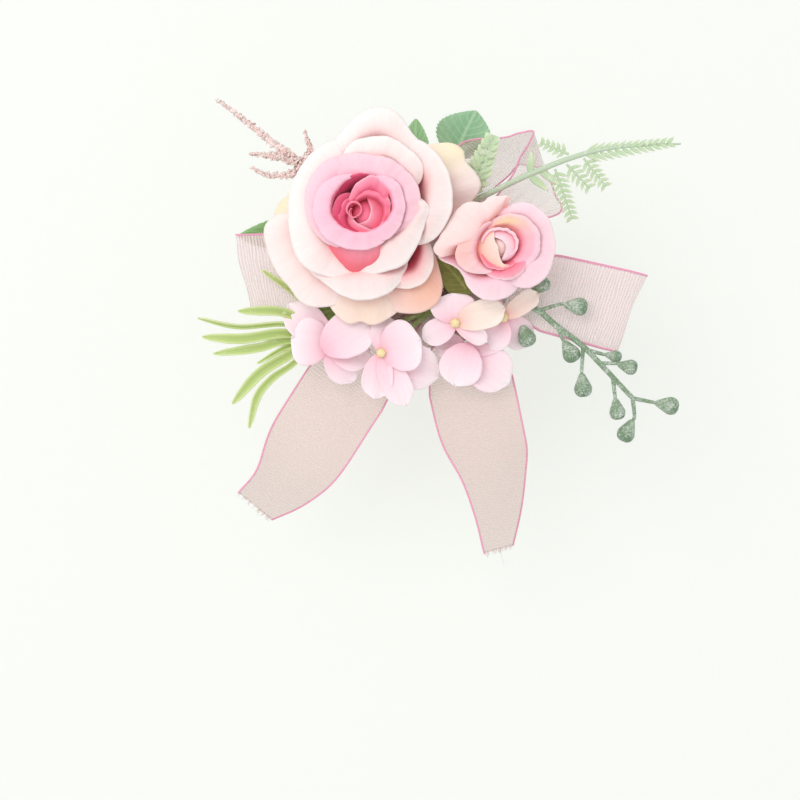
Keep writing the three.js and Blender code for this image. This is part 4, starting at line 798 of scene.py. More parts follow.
FLORETS = [
    ((-33.7, -27.9, 15.2), [(135, 20, 12.6, 0.8), (-58, 14.5, 11.6, -0.5), (-20, 14.5, 11.6, 1.6),
                            (169, 13.2, 16.4, 3.4), (31, 16.4, 15.6, 5.5, 3)], ()),
    ((-16.5, -30.3, 18.6), [(-22, 21, 15, -2), (80, 12.5, 9.5, 1), (-64, 19.6, 9.8, 1.2),
                            (-98, 15.6, 10.6, 0), (18, 14, 17.6, 4)], ()),
    ((8.1, -20.4, 20.0), [(-154, 12, 9, -2), (-30, 12.4, 6, 1), (98, 10, 15, 2.5),
                          (17, 17.4, 10, 4)], (3,)),
    ((11.9, -29.3, 13.6), [(164, 11, 9, 0), (23, 16, 9.6, 0.6), (-38, 18.5, 15.6, 0.6),
                           (-108, 12.6, 14.6, 2.6, 2.4)], ()),
    ((24.3, -18.5, 17.4), [(-45, 13, 11, -8), (-120, 12, 12, -2), (150, 10, 10, -0.6),
                           (36, 14.4, 6.8, 1.6)], (3,)),
]
BEAD_PROFILE, BEAD_LIFT = [(0, 0), (1.3, 0), (1.6, 0.7), (1.4, 1.4), (0.9, 1.85), (0, 2.1)], 0.4
YELLOW = [(0, (240, 212, 146)), (1, (252, 234, 184))]
bead_plastic = moulded("bead_plastic", (250, 228, 170), amount=0.5, grain=1400.0, roughness=0.5)
for number, (centre, petals, creamy) in enumerate(FLORETS, 1):
    grids = [spoon(centre, *row, stops=CREAM if place in creamy else FLORET)
             for place, row in enumerate(petals)]
    fixed(f"floret_{number}_petals", grids, petal_silk, [f"hydrangea_floret_{number}"],
          SILK_THICKNESS)
    bead = turned(BEAD_PROFILE, (*centre[:2], centre[2] + BEAD_LIFT), (0, 0, 1), around=24, steps=24,
                  stops=YELLOW, waves=5, depth=0.05)
    fixed(f"floret_{number}_bead", [bead], bead_plastic, [f"hydrangea_bead_{number}"])

VIAS = [(-16, -22, 10), (-9, -24, 11), (4, -18.5, 11), (6, -23, 9.6), (13, -20, 10.4)]
FORK, STALK_GREEN = (0.4, -15.5, 9.0), (150, 176, 104)
stalks = [rod([FORK, via, (*at[:2], at[2] - 3), (*at[:2], at[2] + 1)], [1.0, 0.9, 0.85, 0.9],
              tint=STALK_GREEN)
          for via, (at, _, _) in zip(VIAS, FLORETS)]
stalks.append(rod([(*FORK[:2], 6.6), (*FORK[:2], 9.4)], [1.1, 1.1], tint=STALK_GREEN))
fixed("hydrangea_stalks", stalks, stem_plastic, ["hydrangea_stem"])


# %% [markdown]
# Rose leaves are printed cloth with a pale midrib, side veins and small teeth. The blade is a grid
# along a smooth midrib: teeth ripple its width, veins raise it a little and lighten its tint. Veins
# could come from a bump texture, but worked out on the grid they are there in the shape too.

# %% Rose leaves
def leaf_blade(line, sideways, half_width, deep, pale, teeth=15, fold=1.4, across=41, along=90):
    """Width is a rounded bump with teeth; height a fold about the midrib and ridges along the veins."""
    u, v = grid_shares(across, along)
    middle = smooth_path(line, v[0])
    tooth = 1 + 0.07 * (np.mod(teeth * v, 1) - 0.5) * (v > 0.08) * (v < 0.95)
    half = half_width * np.sin(np.pi * np.clip(v, 0.02, 1) ** 0.85) ** 0.8 * tooth + 0.15
    sideways = unit(np.asarray(sideways, float))
    stripe = np.sin(np.pi * (7 * v - 2.2 * np.abs(u))) / 0.24
    vein = np.exp(-stripe ** 2) * (np.abs(u) < 0.93) * (v > 0.04)
    rib = np.exp(-(u * half / 0.45) ** 2)
    bend = fold * (np.abs(u) - 0.5) * half / half_width
    points = middle[None] + (u * half)[..., None] * sideways
    points[..., 2] += bend + 0.18 * vein + 0.3 * rib - 0.7 * np.abs(u) ** 3 * np.sin(9 * v)
    light = np.clip(0.6 * vein + rib, 0, 1) * 0.6 + 0.25 * np.abs(u)
    tint = gradient([(0, deep), (1, pale)], np.clip(light, 0, 1))
    return {"points": points, "tint": tint, "cloth": together(u * half, v * 30)}


LEAF_THICKNESS = 0.35
leaf_cloth = silk("leaf_cloth", streaks=0.3, roughness=0.55)
LEAVES = [
    ("top", [(5, 22.5, 6.4), (6.4, 30, 6.4)], [(8, 36, 6.4), (11.8, 44.3, 7.6), (15.5, 51.7, 7.4)],
     (0.93, -0.37, 0), 9.4, (136, 182, 142), (194, 223, 186)),
    ("small", [(-6, 22, 6.4), (-6, 26, 6.4)], [(-5.8, 30, 6.4), (-5.2, 40, 7.4), (-4.8, 49, 7.4)],
     (1, -0.05, 0), 4.6, (132, 184, 130), (190, 222, 174)),
    ("left", [(-22.5, 9.4, 6.4), (-26, 10, 6.4)], [(-30, 10.2, 6.4), (-48, 10.2, 6), (-65, 9.6, 5)],
     (0, 1, 0), 6, (118, 168, 104), (176, 210, 150)),
    ("centre", [(12, -10.5, 6.4), (12.3, -10.8, 11.6)],
     [(13, -10.5, 15.6), (9, -5, 16.6), (2.4, 2, 16.6)],
     (0.75, 0.66, 0), 5.4, (128, 140, 72), (184, 188, 112)),
    ("below", [(-20.5, -12.2, 6.4), (-21, -12.6, 10.6)],
     [(-25, -14, 13.2), (-33, -16, 13.6), (-42, -17.5, 13.4)],
     (0.15, 1, 0), 4.4, (116, 146, 78), (170, 192, 120)),
]
for name, stalk, line, sideways, half_width, deep, pale in LEAVES:
    blade = leaf_blade(line, sideways, half_width, deep, pale)
    fixed(f"leaf_{name}_blade", [blade], leaf_cloth, [f"rose_leaf_{name}"], LEAF_THICKNESS)
    start = np.array(line[0]) + 0.25 * (np.array(line[1]) - line[0])
    stalk = rod([*stalk, line[0], start], [0.8, 0.75, 0.6, 0.4], tint=deep)
    fixed(f"leaf_{name}_stalk", [stalk], stem_plastic)


# %% [markdown]
# The berry sprig is moulded green plastic under a white bloom. Drops hang on thin stalks, glossy and
# dark at their round ends and frosted towards the neck. Its wire runs from the fixed foot into the
# moving spray, so the stem is left in place, not attached to either, and the drops ride on their own side
# of it.

# %% Berries
BERRY_STEM = [(16, -15, 6.6), (17.5, -15.2, 10), (26, -15.7, 13.4), (34.5, -15.3, 16),
              (42.2, -21.3, 16.8), (50.9, -28, 17), (56.5, -33.7, 17), (67.9, -45.7, 16.4)]
FOOT_DROPS = [
    ((28.6, -15.6, 14.1), (29.3, -18.5, 13.4), (32, -24.2, 12.5), 1.0),
    ((28.6, -15.6, 14.1), (32.6, -11.4, 14.8), (36.7, -7.8, 15), 0.9)]
SPRAY_DROPS = [
    ((36, -16.2, 16.2), (43.2, -14, 16.8), (48.5, -14.6, 16.6), 1.0),
    ((42.5, -21.6, 16.8), (43.8, -25, 16.8), (46.5, -29.6, 16.6), 1.0),
    ((51, -28.2, 17), (50.5, -36.7, 17), (50.9, -41, 16.8), 1.0),
    ((52.2, -29.2, 17), (57.4, -30.6, 16), (61.2, -31.3, 15.6), 0.7),
    ((56.5, -33.7, 17), (61.4, -33.8, 17.6), (65.7, -34.8, 17.8), 0.85),
    ((61, -38.6, 16.8), (61.6, -44.3, 16.8), (62.3, -49, 16.6), 0.9),
    ((67.6, -45.4, 16.4), (74.6, -46.8, 16.6), (79, -47.7, 16.6), 1.0),
    ((67.6, -45.4, 16.4), (68.2, -51.4, 16.4), (65.9, -56.2, 16.2), 1.0)]
STEM_GREEN = (122, 150, 114)


def drop(start, bend, centre, share):
    """A stalk that bends to the neck of a turned drop, widest past its middle and dimpled at its end."""
    half, wide = 4.0 * share, 3.0 * share
    way = unit(np.array(centre) - bend)
    neck = np.array(centre) - 0.8 * half * way
    profile = [(0, -half), (0.3 * wide, -0.92 * half), (0.62 * wide, -0.45 * half),
               (0.95 * wide, 0.1 * half), (wide, 0.4 * half), (0.82 * wide, 0.78 * half),
               (0.4 * wide, 0.98 * half), (0.12 * wide, 0.97 * half), (0, 0.92 * half)]
    stops = [(0, (146, 168, 138)), (0.35, (124, 152, 118)), (0.7, (90, 126, 88)), (1, (72, 112, 68))]
    return [rod([start, bend, neck], [0.75, 0.6, 0.55], around=8, steps=14, tint=STEM_GREEN),
            turned(profile, centre, way, around=22, steps=26, stops=stops)]


berry_plastic = moulded("berry_plastic", (202, 214, 200), amount=0.56, grain=1500.0, roughness=0.3,
                        rough_frost=0.75, distance=0.00035)
stem = rod(BERRY_STEM, [1, 1, 1, 1, 1, 0.95, 0.9, 0.8], around=12, steps=90, tint=STEM_GREEN)
stem = piece("berry_stem", [stem], berry_plastic)
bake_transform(stem)
for name, rows, node_name, body in [("berry_foot_drops", FOOT_DROPS, "berry_foot", "spray_base"),
                                    ("berry_spray_drops", SPRAY_DROPS, "berry_spray", "berry_sprig")]:
    grids = [grid for row in rows for grid in drop(*row)]
    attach(piece(name, grids, berry_plastic, [node_name]), body)


# %% [markdown]
# The fern is pale green plastic with a dusty bloom. Its leaflets are narrow blades in pairs along each
# rib. All leaflets of a rib are worked out at once as one array of grids, which stays fast however
# many there are.

# %% Fern leaflets
FERN_GREEN, FERN_PALE, FERN_WIRE = (184, 210, 168), (228, 238, 208), (192, 212, 184)
LEAFLET_THICKNESS = 0.3
fern_plastic = moulded("fern_plastic", (230, 238, 216), amount=0.48, grain=1100.0, roughness=0.55,
                       rough_frost=0.85, distance=0.0002)


def leaflets(roots, tips, width, fold=0.25, lift=0.6):
    """Blades from roots to tips: width a rounded bump, a fold about the rib and a slight arch."""
    roots, tips = np.asarray(roots, float), np.asarray(tips, float)
    way = tips - roots
    side = unit(np.cross(way, [0.0, 0.0, 1.0]))[:, None, None]
    u, v = grid_shares(5, 9)
    half = 0.5 * width * np.sin(np.pi * np.clip(v, 0.06, 1) ** 0.75) ** 0.8 + 0.04
    points = roots[:, None, None] + way[:, None, None] * v[..., None] + side * (u * half)[..., None]
    points[..., 2] += lift * np.sin(np.pi * v) * 0.5 + fold * np.abs(u) * half
    tint = gradient([(0, FERN_GREEN), (0.6, (198, 220, 178)), (1, FERN_PALE)], v)
    return {"points": points, "tint": tint[None]}


def pairs(start, end, count, length, width, taper=0.45, slant=0.66):
    """Leaflets on both sides of a straight rib, slanting forward, shorter towards its end."""
    start, end = np.array(start, float), np.array(end, float)
    way = unit(end - start)
    side = unit(np.cross(way, [0.0, 0.0, 1.0]))
    share = (np.repeat(np.arange(count), 2) + 0.6) / count
    left_or_right = np.tile([-1.0, 1.0], count)
    reach = (length * (1 - taper * share))[:, None]
    roots = start + share[:, None] * (end - start)
    tips = roots + 0.75 * left_or_right[:, None] * reach * side + slant * reach * way
    tips[:, 2] += 0.4 * np.sin(np.arange(2 * count))
    return leaflets(roots, tips, width)


# %% [markdown]
# The fern's wire runs from the fixed foot into the moving sprig, so it is left in place, not attached to
# either. A short leafy shoot stays on the base, and the spike and its four side fronds ride on the sprig.

# %% Fern sprig
PIVOT, SHOOT_TOP = (14.5, 20.7, 17), (20.4, 41, 20)
FERN_STEM = [(-1, 16, 6.6), (-0.3, 16.4, 10.5), (6, 18.5, 14.8), PIVOT, (31.7, 28.6, 19.6), (48, 35, 20),
             (62.1, 38.3, 19), (83.4, 39.6, 17)]
stem = rod(FERN_STEM, [1, 1, 1, 1, 1, 0.9, 0.7, 0.35], steps=90, tint=FERN_WIRE)
stem = piece("fern_stem_wire", [stem], fern_plastic)
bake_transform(stem)
shoot = [rod([(5, 18.2, 14.2), (11, 24.5, 17), (17, 29, 18.6), SHOOT_TOP], [0.8, 0.7, 0.5],
             tint=FERN_WIRE)]
shoot_leaves = [pairs((14.6, 26.6, 18.2), SHOOT_TOP, count=6, length=6.4, width=3.2, taper=0.5),
                pairs((8, 21, 16), (15, 27.5, 18.4), count=3, length=6.5, width=3.4, taper=0.1)]
fixed("fern_shoot_stem", shoot, fern_plastic, ["fern_foot"])
fixed("fern_shoot_leaves", shoot_leaves, fern_plastic, (), LEAFLET_THICKNESS)
spike = [pairs((50, 35.6, 19.9), (80, 39.9, 17.8), count=12, length=4.4, width=1.2, taper=0.5, slant=1.15),
         leaflets([(33.1, 29, 19.7), (32.6, 29, 19.7), (36, 30.5, 19.8)],
                  [(33.4, 37, 20.4), (39.4, 23.6, 19), (43.4, 25.6, 19)], width=2.4)]
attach(piece("fern_spike_leaves", spike, fern_plastic, ["fern_stem"], LEAFLET_THICKNESS),
        "fern_sprig")
FRONDS = [((41.6, 30.6, 19.4), (47.3, 14.6, 17), 9, 4.6), ((45.6, 32.2, 19.6), (53, 24.8, 18), 5, 4.6),
          ((51.2, 34.2, 19.6), (58.4, 25.4, 18), 6, 4.4), ((45.6, 36, 20.2), (36.9, 39.9, 18.4), 5, 3.8)]
for number, (start, end, count, length) in enumerate(FRONDS, 1):
    leaves = pairs(start, end, count, length, width=1.05, taper=0.35, slant=0.5)
    leaves = piece(f"fern_frond_{number}_leaves", [leaves], fern_plastic,
                   [f"fern_frond_{number}"], LEAFLET_THICKNESS)
    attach(leaves, "fern_sprig")
    rib = rod([start, end], [0.5, 0.3], around=6, steps=8, tint=(200, 218, 184))
    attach(piece(f"fern_frond_{number}_rib", [rib], fern_plastic), "fern_sprig")


# %% [markdown]
# The plume is a wire dipped in glue and rolled in pink foam grains. A knobbly rod gives the body, and a
# few hundred small grains are scattered on it with a fixed seed, some of them brown. A particle system
# could do that too, but one array of grains is easier to colour and the same on every run.

# %% Plume
rng = np.random.default_rng(7)
SPIKES = [
    [(-43, 33, 10), (-50, 38.4, 10.4), (-59.1, 45.4, 10.6), (-66, 51, 10), (-72, 55.3, 9.4)],
    [(-45.9, 34.8, 10.2), (-53, 36.2, 10.4), (-60.8, 37, 9.4)],
    [(-43, 32.6, 10), (-46.5, 30.2, 10), (-54.7, 29.8, 10), (-60.2, 32.4, 9)],
    [(-43, 33, 10), (-40.6, 38, 10.2), (-42.4, 44.7, 10.2)]]
FOAM = [(0, (250, 200, 194)), (0.5, (255, 222, 214)), (1, (255, 238, 232))]
GRAIN_COUNTS, GRAIN_REACH = (330, 160, 180, 120), 2.0
plume_flock = moulded("plume_flock", (255, 238, 233), amount=0.66, grain=1300.0, roughness=0.9,
                      rough_frost=0.95, distance=0.0005)


def grains(points, count, radius):
    """Small six-sided grains round a smooth path, each stretched, turned and coloured at random."""
    share = rng.uniform(0.02, 1, count)
    line = smooth_path(points, share)
    out = unit(rng.normal(size=(count, 3)))
    centre = line + out * (radius * (1 - 0.75 * share))[:, None] * rng.uniform(0.6, 1.15, (count, 1))
    size = rng.uniform(0.45, 0.95, (count, 1, 1, 1)) * (1 - 0.45 * share)[:, None, None, None]
    angle = circle(6)[:, None, None]
    lean = np.array([-1.0, -0.6, 0.3, 1.0])[None, :, None]
    ring = np.array([0.0, 0.8, 0.9, 0.0])[None, :, None]
    first = unit(np.cross(out, [0.31, 0.52, 0.8]))[:, None, None]
    second = unit(rng.normal(size=(count, 3)))[:, None, None]
    third = np.cross(out[:, None, None], first)
    body = ring * (np.cos(angle) * first + np.sin(angle) * third) + lean * second
    brown = rng.random((count, 1, 1, 1)) < 0.045
    pink = gradient(FOAM, rng.random((count, 1, 1)))
    tint = np.where(brown, screen(172, 124, 112), pink)
    return {"points": centre[:, None, None] + size * body, "wrap": True, "tint": tint}


wires = [rod(points, [0.8, 1.1, 0.8, 0.5, 0.2], around=8, steps=30, tint=(255, 218, 210))
         for points in SPIKES]
grain = [grains(points, count, GRAIN_REACH) for points, count in zip(SPIKES, GRAIN_COUNTS)]
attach(piece("plume_grains", [*wires, *grain], plume_flock, ["plume_spray"]), "plume_sprig")
PLUME_STEM = [(-21.5, 13.2, 6.4), (-21.6, 13.4, 7), (-25, 17.4, 8.4), (-33, 25.4, 9.4), (-41, 31.5, 10),
              (-46, 34.9, 10.2)]
stem = rod(PLUME_STEM, [1, 1, 1, 0.95, 0.9, 0.8], steps=50, tint=(150, 170, 112))
stem = piece("plume_stem", [stem], stem_plastic, ["plume_foot"])
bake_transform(stem)


# %% [markdown]
# The grass pick is one moulding: blades like small folded keels that fan from a stalk. A bent plane
# could do for each, but a grid along a smooth curve also gives the keel, the pale edges and the tip.

# %% Grass
FAN = (-37, -24.6, 10.6)
BLADES = [
    ([(-40, -16.6, 11.6), (-45.9, -9.8, 13.4), (-56.4, -2.5, 14.8)], (0.6, 0.8, 0), 2.2),
    ([(-48.4, -16.8, 14), (-64.5, -16.2, 14.6)], (0, 1, 0), 3.0),
    ([(-48.1, -20.6, 13), (-64.5, -21.4, 13.4), (-78, -18.5, 12.4)], (0, 0.6, 0.8), 2.2),
    ([(-50, -23.6, 12), (-63.3, -25.4, 12.2), (-76.7, -24.8, 11.4)], (0, 1, 0), 3.2),
    ([(-50, -26.2, 11), (-58, -28.4, 10.8), (-73.1, -30.4, 9.8)], (0.1, 1, 0), 3.0),
    ([(-48, -28, 10), (-58.3, -33.6, 9.6)], (0.5, 0.86, 0), 3.0),
    ([(-48, -31, 10), (-57.7, -37.2, 9.4), (-66.8, -47.3, 8)], (0.7, -0.7, 0), 3.4),
    ([(-46, -33.5, 9.6), (-53.2, -38.6, 9), (-58.4, -45, 8.4), (-61.2, -55.5, 7.4)], (0.9, -0.4, 0), 2.6)]
BLADE_THICKNESS = 0.5
grass_plastic = moulded("grass_plastic", (220, 230, 186), amount=0.42, grain=700.0, roughness=0.4,
                        rough_frost=0.6, distance=0.0002)


def grass_blade(points, sideways, width, across=13, along=60):
    """Width grows from the stalk, stays even and narrows near the tip; the middle is folded down."""
    u, v = grid_shares(across, along)
    line = smooth_path([FAN, *points], v[0])
    half = 0.5 * width * np.interp(v, [0, 0.15, 0.4, 0.78, 0.93, 0.98, 1],
                                   [0.5, 0.8, 1.08, 1.08, 0.76, 0.4, 0.06])
    grid = line[None] + (u * half)[..., None] * unit(np.asarray(sideways, float))
    grid[..., 2] += 0.5 * half * (np.abs(u) - 0.4) + 0.06 * np.cos(9 * u)
    light = np.clip(0.75 * np.abs(u) ** 2 + 0.35 * v ** 3, 0, 1)
    tint = gradient([(0, (166, 188, 106)), (0.5, (196, 213, 138)), (1, (221, 232, 176))], light)
    return {"points": grid, "tint": tint}


fixed("grass_blades", [grass_blade(*row) for row in BLADES], grass_plastic, ["grass_pick"],
      BLADE_THICKNESS)
stalk = rod([(-14, -12, 6.6), (-14.8, -12.4, 8.4), (-25, -17.6, 10.2), FAN], [1.2, 1.1, 1.1, 1.3],
            tint=(150, 176, 92))
fixed("grass_stalk", [stalk], grass_plastic)


# %% [markdown]
# Organza is a sheer, crisp weave. Fine ribs run across the ribbon, and each edge is a woven pink cord.
# A node group draws the ribs from the cloth's millimetres, and the ribs are a little less see-through
# than the gaps between them. The piece's tint dyes the cloth, so that the tails can be duller. A
# picture of the weave could do it, but a formula stays sharp and follows every fold.

# %% Organza
FULL_TURN = 6.2832
organza_group, given, result = new_group(
    "organza_ribs", [("Cloth", "Vector"), ("Pitch", "Float")], [("Rib", "Float")])
parts = node(organza_group, "SeparateXYZ", {0: given["Cloth"]})
wobble_at = node(organza_group, "Mapping", {
    "Vector": given["Cloth"], "Scale": (0.05, 0.16, 1.0)}).outputs[0]
wobble = node(organza_group, "TexNoise", {"Vector": wobble_at, "Scale": 1.0, "Detail": 2.0}).outputs[0]
along = maths(organza_group, "ADD", parts.outputs[1], maths(organza_group, "MULTIPLY", wobble, 3.0))
turns = maths(organza_group, "MULTIPLY", along, FULL_TURN)
phase = maths(organza_group, "DIVIDE", turns, given["Pitch"])
rib = maths(organza_group, "ADD", maths(organza_group, "SINE", phase), 1.0)
rib = maths(organza_group, "MULTIPLY", rib, 0.5)
organza_group.links.new(rib, result["Rib"])

RIB_PITCH, GAP_COVER, RIB_COVER = 0.95, 0.24, 0.42
organza, tree = new_material("organza")
ribs = place_group(tree, organza_group, {"Cloth": own_cloth(tree), "Pitch": RIB_PITCH})
# The darker colour between the ribs is painted shade, for the shadow in the grooves of the weave.
dusty = mixed(tree, ribs["Rib"], rgba(236, 210, 210), rgba(254, 245, 244))
dusty = node(tree, "VectorMath", {0: dusty, 1: own_tint(tree)}, operation="MULTIPLY").outputs[0]
cover = node(tree, "MapRange", {0: ribs["Rib"], 3: GAP_COVER, 4: RIB_COVER}).outputs[0]
finish_material(tree, {
    "Base Color": dusty, "Roughness": 0.5, "Specular IOR Level": 0.4, "Sheen Weight": 0.3,
    "Alpha": cover, "Normal": bumped(tree, ribs["Rib"], strength=0.4, distance=0.0002)})

selvedge_thread, tree = new_material("selvedge_thread")
twist = node(tree, "TexNoise", {"Scale": 900.0, "Detail": 2.0}).outputs[0]
colour = mixed(tree, twist, rgba(232, 140, 176), rgba(248, 186, 210))
finish_material(tree, {
    "Base Color": colour, "Roughness": 0.55, "Normal": bumped(tree, twist, strength=0.4, distance=0.0002)})


# %% [markdown]
# A ribbon is a flat strip of fixed width. Where the bow gathers it, the width that is not spread goes up
# and down in pleats, so the cloth keeps its area. The height of the pleats is solved from that: the
# mean length of a wavy line across the ribbon has to stay the ribbon's width. A cloth simulation could
# gather it as well, but this way the pleats come out the same on every run.

# %% Ribbons
RIBBON_WIDTH = 29.0
RIBBON_THICKNESS = 0.16
PLEATS = 5


def distance_along(line):
    """Distance from the first point of a line to each of its points."""
    return np.concatenate([[0], np.cumsum(np.linalg.norm(np.diff(line, axis=0), axis=1))])


def pleat_slope(spread):
    """Slope of pleats whose wavy line is as long as the flat cloth, found by halving the interval."""
    turn = np.cos(circle(64))
    low, high = np.zeros_like(spread), np.full_like(spread, 2.0)
    for _ in range(30):
        guess = 0.5 * (low + high)
        length = np.sqrt(spread[:, None] ** 2 + (guess[:, None] * turn) ** 2).mean(1)
        low, high = np.where(length < 1, guess, low), np.where(length < 1, high, guess)
    return low


def ribbon(stations, steps=130, across=71, phase=0.6):
    """Middle line and way across on smooth paths, with pleats along the ribbon's own normal."""
    share = np.linspace(0, 1, steps)
    line = smooth_path([row[0] for row in stations], share)
    sideways = unit(smooth_path([row[1] for row in stations], share))
    spread = np.interp(share, np.linspace(0, 1, len(stations)), [row[2] for row in stations])
    spread = np.clip(spread, 0.1, 0.995)
    way = unit(np.gradient(line, axis=0))
    square = unit(np.cross(way, sideways))
    flat = np.linspace(-0.5, 0.5, across)
    tall = pleat_slope(spread) * RIBBON_WIDTH / (2 * np.pi * PLEATS)
    crowded = np.clip((0.9 - spread) / 0.3, 0, 1)[:, None]
    fine, broad = np.sin(2 * np.pi * PLEATS * flat + phase), np.sin(2.2 * np.pi * flat + phase)
    wave = tall[:, None] * (crowded * fine + (1 - crowded) * broad)
    points = (line[:, None] + (spread[:, None] * RIBBON_WIDTH * flat)[..., None] * sideways[:, None]
              + wave[..., None] * square[:, None])
    run = distance_along(line)
    return {"points": points, "cloth": together(RIBBON_WIDTH * flat, run[:, None])}, run[-1]


def edge_cords(grid, radius=0.32):
    """A round cord along each edge of a ribbon, from the edge's own points."""
    edges = grid["points"][:, [0, -1]].transpose(1, 0, 2)
    return [rod(edge, [radius, radius], around=7, steps=110) for edge in edges]


def organza_piece(name, stations, nodes, blend=None, phase=0.6, tint=(255, 255, 255)):
    """A ribbon and its two edge cords, with the ribbon's thickness, carried by the base or, with blend,
    left in place unattached.
    """
    grid, length = ribbon(stations, phase=phase)
    grid["tint"] = screen(*tint)
    sheet = piece(name, [grid], organza, nodes, RIBBON_THICKNESS)
    cords = piece(name + "_edges", edge_cords(grid), selvedge_thread)
    for part in (sheet, cords):
        if blend:
            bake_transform(part)
        else:
            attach(part, "spray_base")
    print(name, "flat length", round(length, 1), "mm")
    return grid


# %% [markdown]
# Each loop and tail is a list of stations: a point of its middle line, the way across, and the share of
# the width that is spread there. A loop goes out and comes back above itself. A tail is left in place
# across its joint, not attached to the base.

# %% Bow loops and tails
LEFT_LOOP = [
    ((-1.4, -2.6, 6.5), (0, 1, 0), 0.16), ((-18, -1.6, 8.5), (0, 1, 0), 0.46),
    ((-38, -2.6, 8.5), (-0.05, 1, 0), 0.9), ((-57, -3.4, 8.2), (-0.17, 0.98, 0), 0.92),
    ((-63.2, -3.4, 9.9), (-0.2, 0.98, 0), 0.92), ((-57, -3.4, 11.6), (-0.17, 0.98, 0), 0.92),
    ((-38, -2.6, 11.5), (-0.05, 1, 0), 0.9), ((-18, -1.6, 10.9), (0, 1, 0), 0.46),
    ((-1.4, -2.6, 9.4), (0, 1, 0), 0.16)]
RIGHT_LOOP = [
    ((9.3, -3.6, 6.5), (0.2, 0.98, 0), 0.16), ((22, -6.2, 7), (0.21, 0.98, 0), 0.42),
    ((40, -10, 7.2), (0.22, 0.975, 0), 0.9), ((62, -15.4, 7.4), (0.33, 0.94, 0), 0.95),
    ((67.8, -16.8, 9.2), (0.36, 0.93, 0), 0.95), ((62, -15.4, 11), (0.33, 0.94, 0), 0.95),
    ((40, -10, 10.8), (0.22, 0.975, 0), 0.9), ((22, -6.4, 9.8), (0.21, 0.98, 0), 0.4),
    ((9.3, -3.6, 9.4), (0.2, 0.98, 0), 0.16)]
UPPER_LOOP = [
    ((6.9, 1.7, 6.8), (0.76, -0.64, 0), 0.16), ((19.2, 13, 8.5), (0.84, -0.5, -0.2), 0.28),
    ((34.7, 22.3, 7.6), (0.75, -0.4, -0.53), 0.83), ((36.8, 30.2, 3.9), (0.45, -0.4, -0.8), 0.98),
    ((37.4, 38.4, 3.4), (0.2, -0.35, -0.91), 1), ((32.5, 38.9, 3), (0.2, -0.3, -0.93), 1),
    ((26.8, 38.2, 3), (0.25, -0.25, -0.93), 0.96), ((16.8, 33.7, 5.8), (0.72, -0.5, -0.48), 0.74),
    ((11.1, 21.2, 10.8), (0.8, -0.5, -0.33), 0.42), ((3.6, 2.6, 9.4), (0.95, -0.3, -0.1), 0.16)]
LEFT_TAIL = [
    ((0.8, -7.3, 6.5), (0.77, -0.64, 0), 0.14), ((-8, -17.4, 6.6), (0.77, -0.64, 0), 0.38),
    ((-19, -30.5, 6.4), (0.77, -0.64, 0), 0.8), ((-27.8, -41, 6.2), (0.768, -0.64, 0), 1),
    ((-39.5, -59, 5), (0.79, -0.6, -0.1), 1), ((-50, -75, 1.5), (0.55, -0.45, -0.7), 1),
    ((-59.6, -82.5, -2), (0.35, -0.36, -0.87), 1)]
RIGHT_TAIL = [
    ((5.3, -8.2, 6.5), (0.97, 0.24, 0), 0.14), ((7.5, -17, 6.6), (0.97, 0.24, 0), 0.35),
    ((11, -30, 6.4), (0.97, 0.24, 0), 0.8), ((13.9, -41.6, 6.2), (0.969, 0.249, 0), 1),
    ((17.4, -57, 5.4), (1, 0.05, -0.05), 1), ((21.5, -71, 4), (0.8, 0.05, -0.6), 1),
    ((23.3, -84, 1.5), (0.59, 0.03, -0.81), 1), ((23.7, -97, -2), (0.38, 0.04, -0.92), 1)]
TAIL_TINT = (236, 213, 203)
organza_piece("organza_left_loop", LEFT_LOOP, ["bow_loop_left"])
organza_piece("organza_right_loop", RIGHT_LOOP, ["bow_loop_right"], phase=1.1)
organza_piece("organza_upper_loop", UPPER_LOOP, ["bow_loop_upper"], phase=0.2)
left_end = organza_piece(
    "organza_left_tail", LEFT_TAIL, ["tail_left_root", "tail_left"],
    ("left_tail", (-0.0246, -0.0372, 0.0062), (-0.0342, -0.0487, 0.0062)), tint=TAIL_TINT)
right_end = organza_piece(
    "organza_right_tail", RIGHT_TAIL, ["tail_right_root", "tail_right"],
    ("right_tail", (0.0127, -0.0367, 0.0062), (0.0164, -0.0513, 0.0062)), tint=TAIL_TINT)


# %% [markdown]
# The tails are cut, not hemmed, so short warp threads stand out of their ends and one long thread hangs
# loose. Each thread is a thin rod with three sides, placed along the cut with a fixed seed. The knot of
# the bow is made of the same thread: a turned body whose ripples stand for the gathered folds.

# %% Frayed ends
def fray(grid, count, longest):
    """Threads that leave the last row of a ribbon along its length and bend a little at random."""
    place = rng.uniform(0, grid["points"].shape[1] - 1.001, count).astype(int)
    roots = grid["points"][-1, place]
    way = unit(roots - grid["points"][-4, place])
    ends = roots + way * rng.uniform(0.5, 1.6, (count, 1)) + rng.normal(0, 0.3, (count, 3))
    ends[0] = roots[0] + longest * unit(way[0] + rng.normal(0, 0.5, 3))
    middle = 0.5 * (roots + ends) + rng.normal(0, 0.15, (count, 3))
    return [rod([a - 0.6 * w, b, c], [0.06, 0.06, 0.04], around=3, steps=6, tint=THREAD_TINT)
            for a, w, b, c in zip(roots, way, middle, ends)]


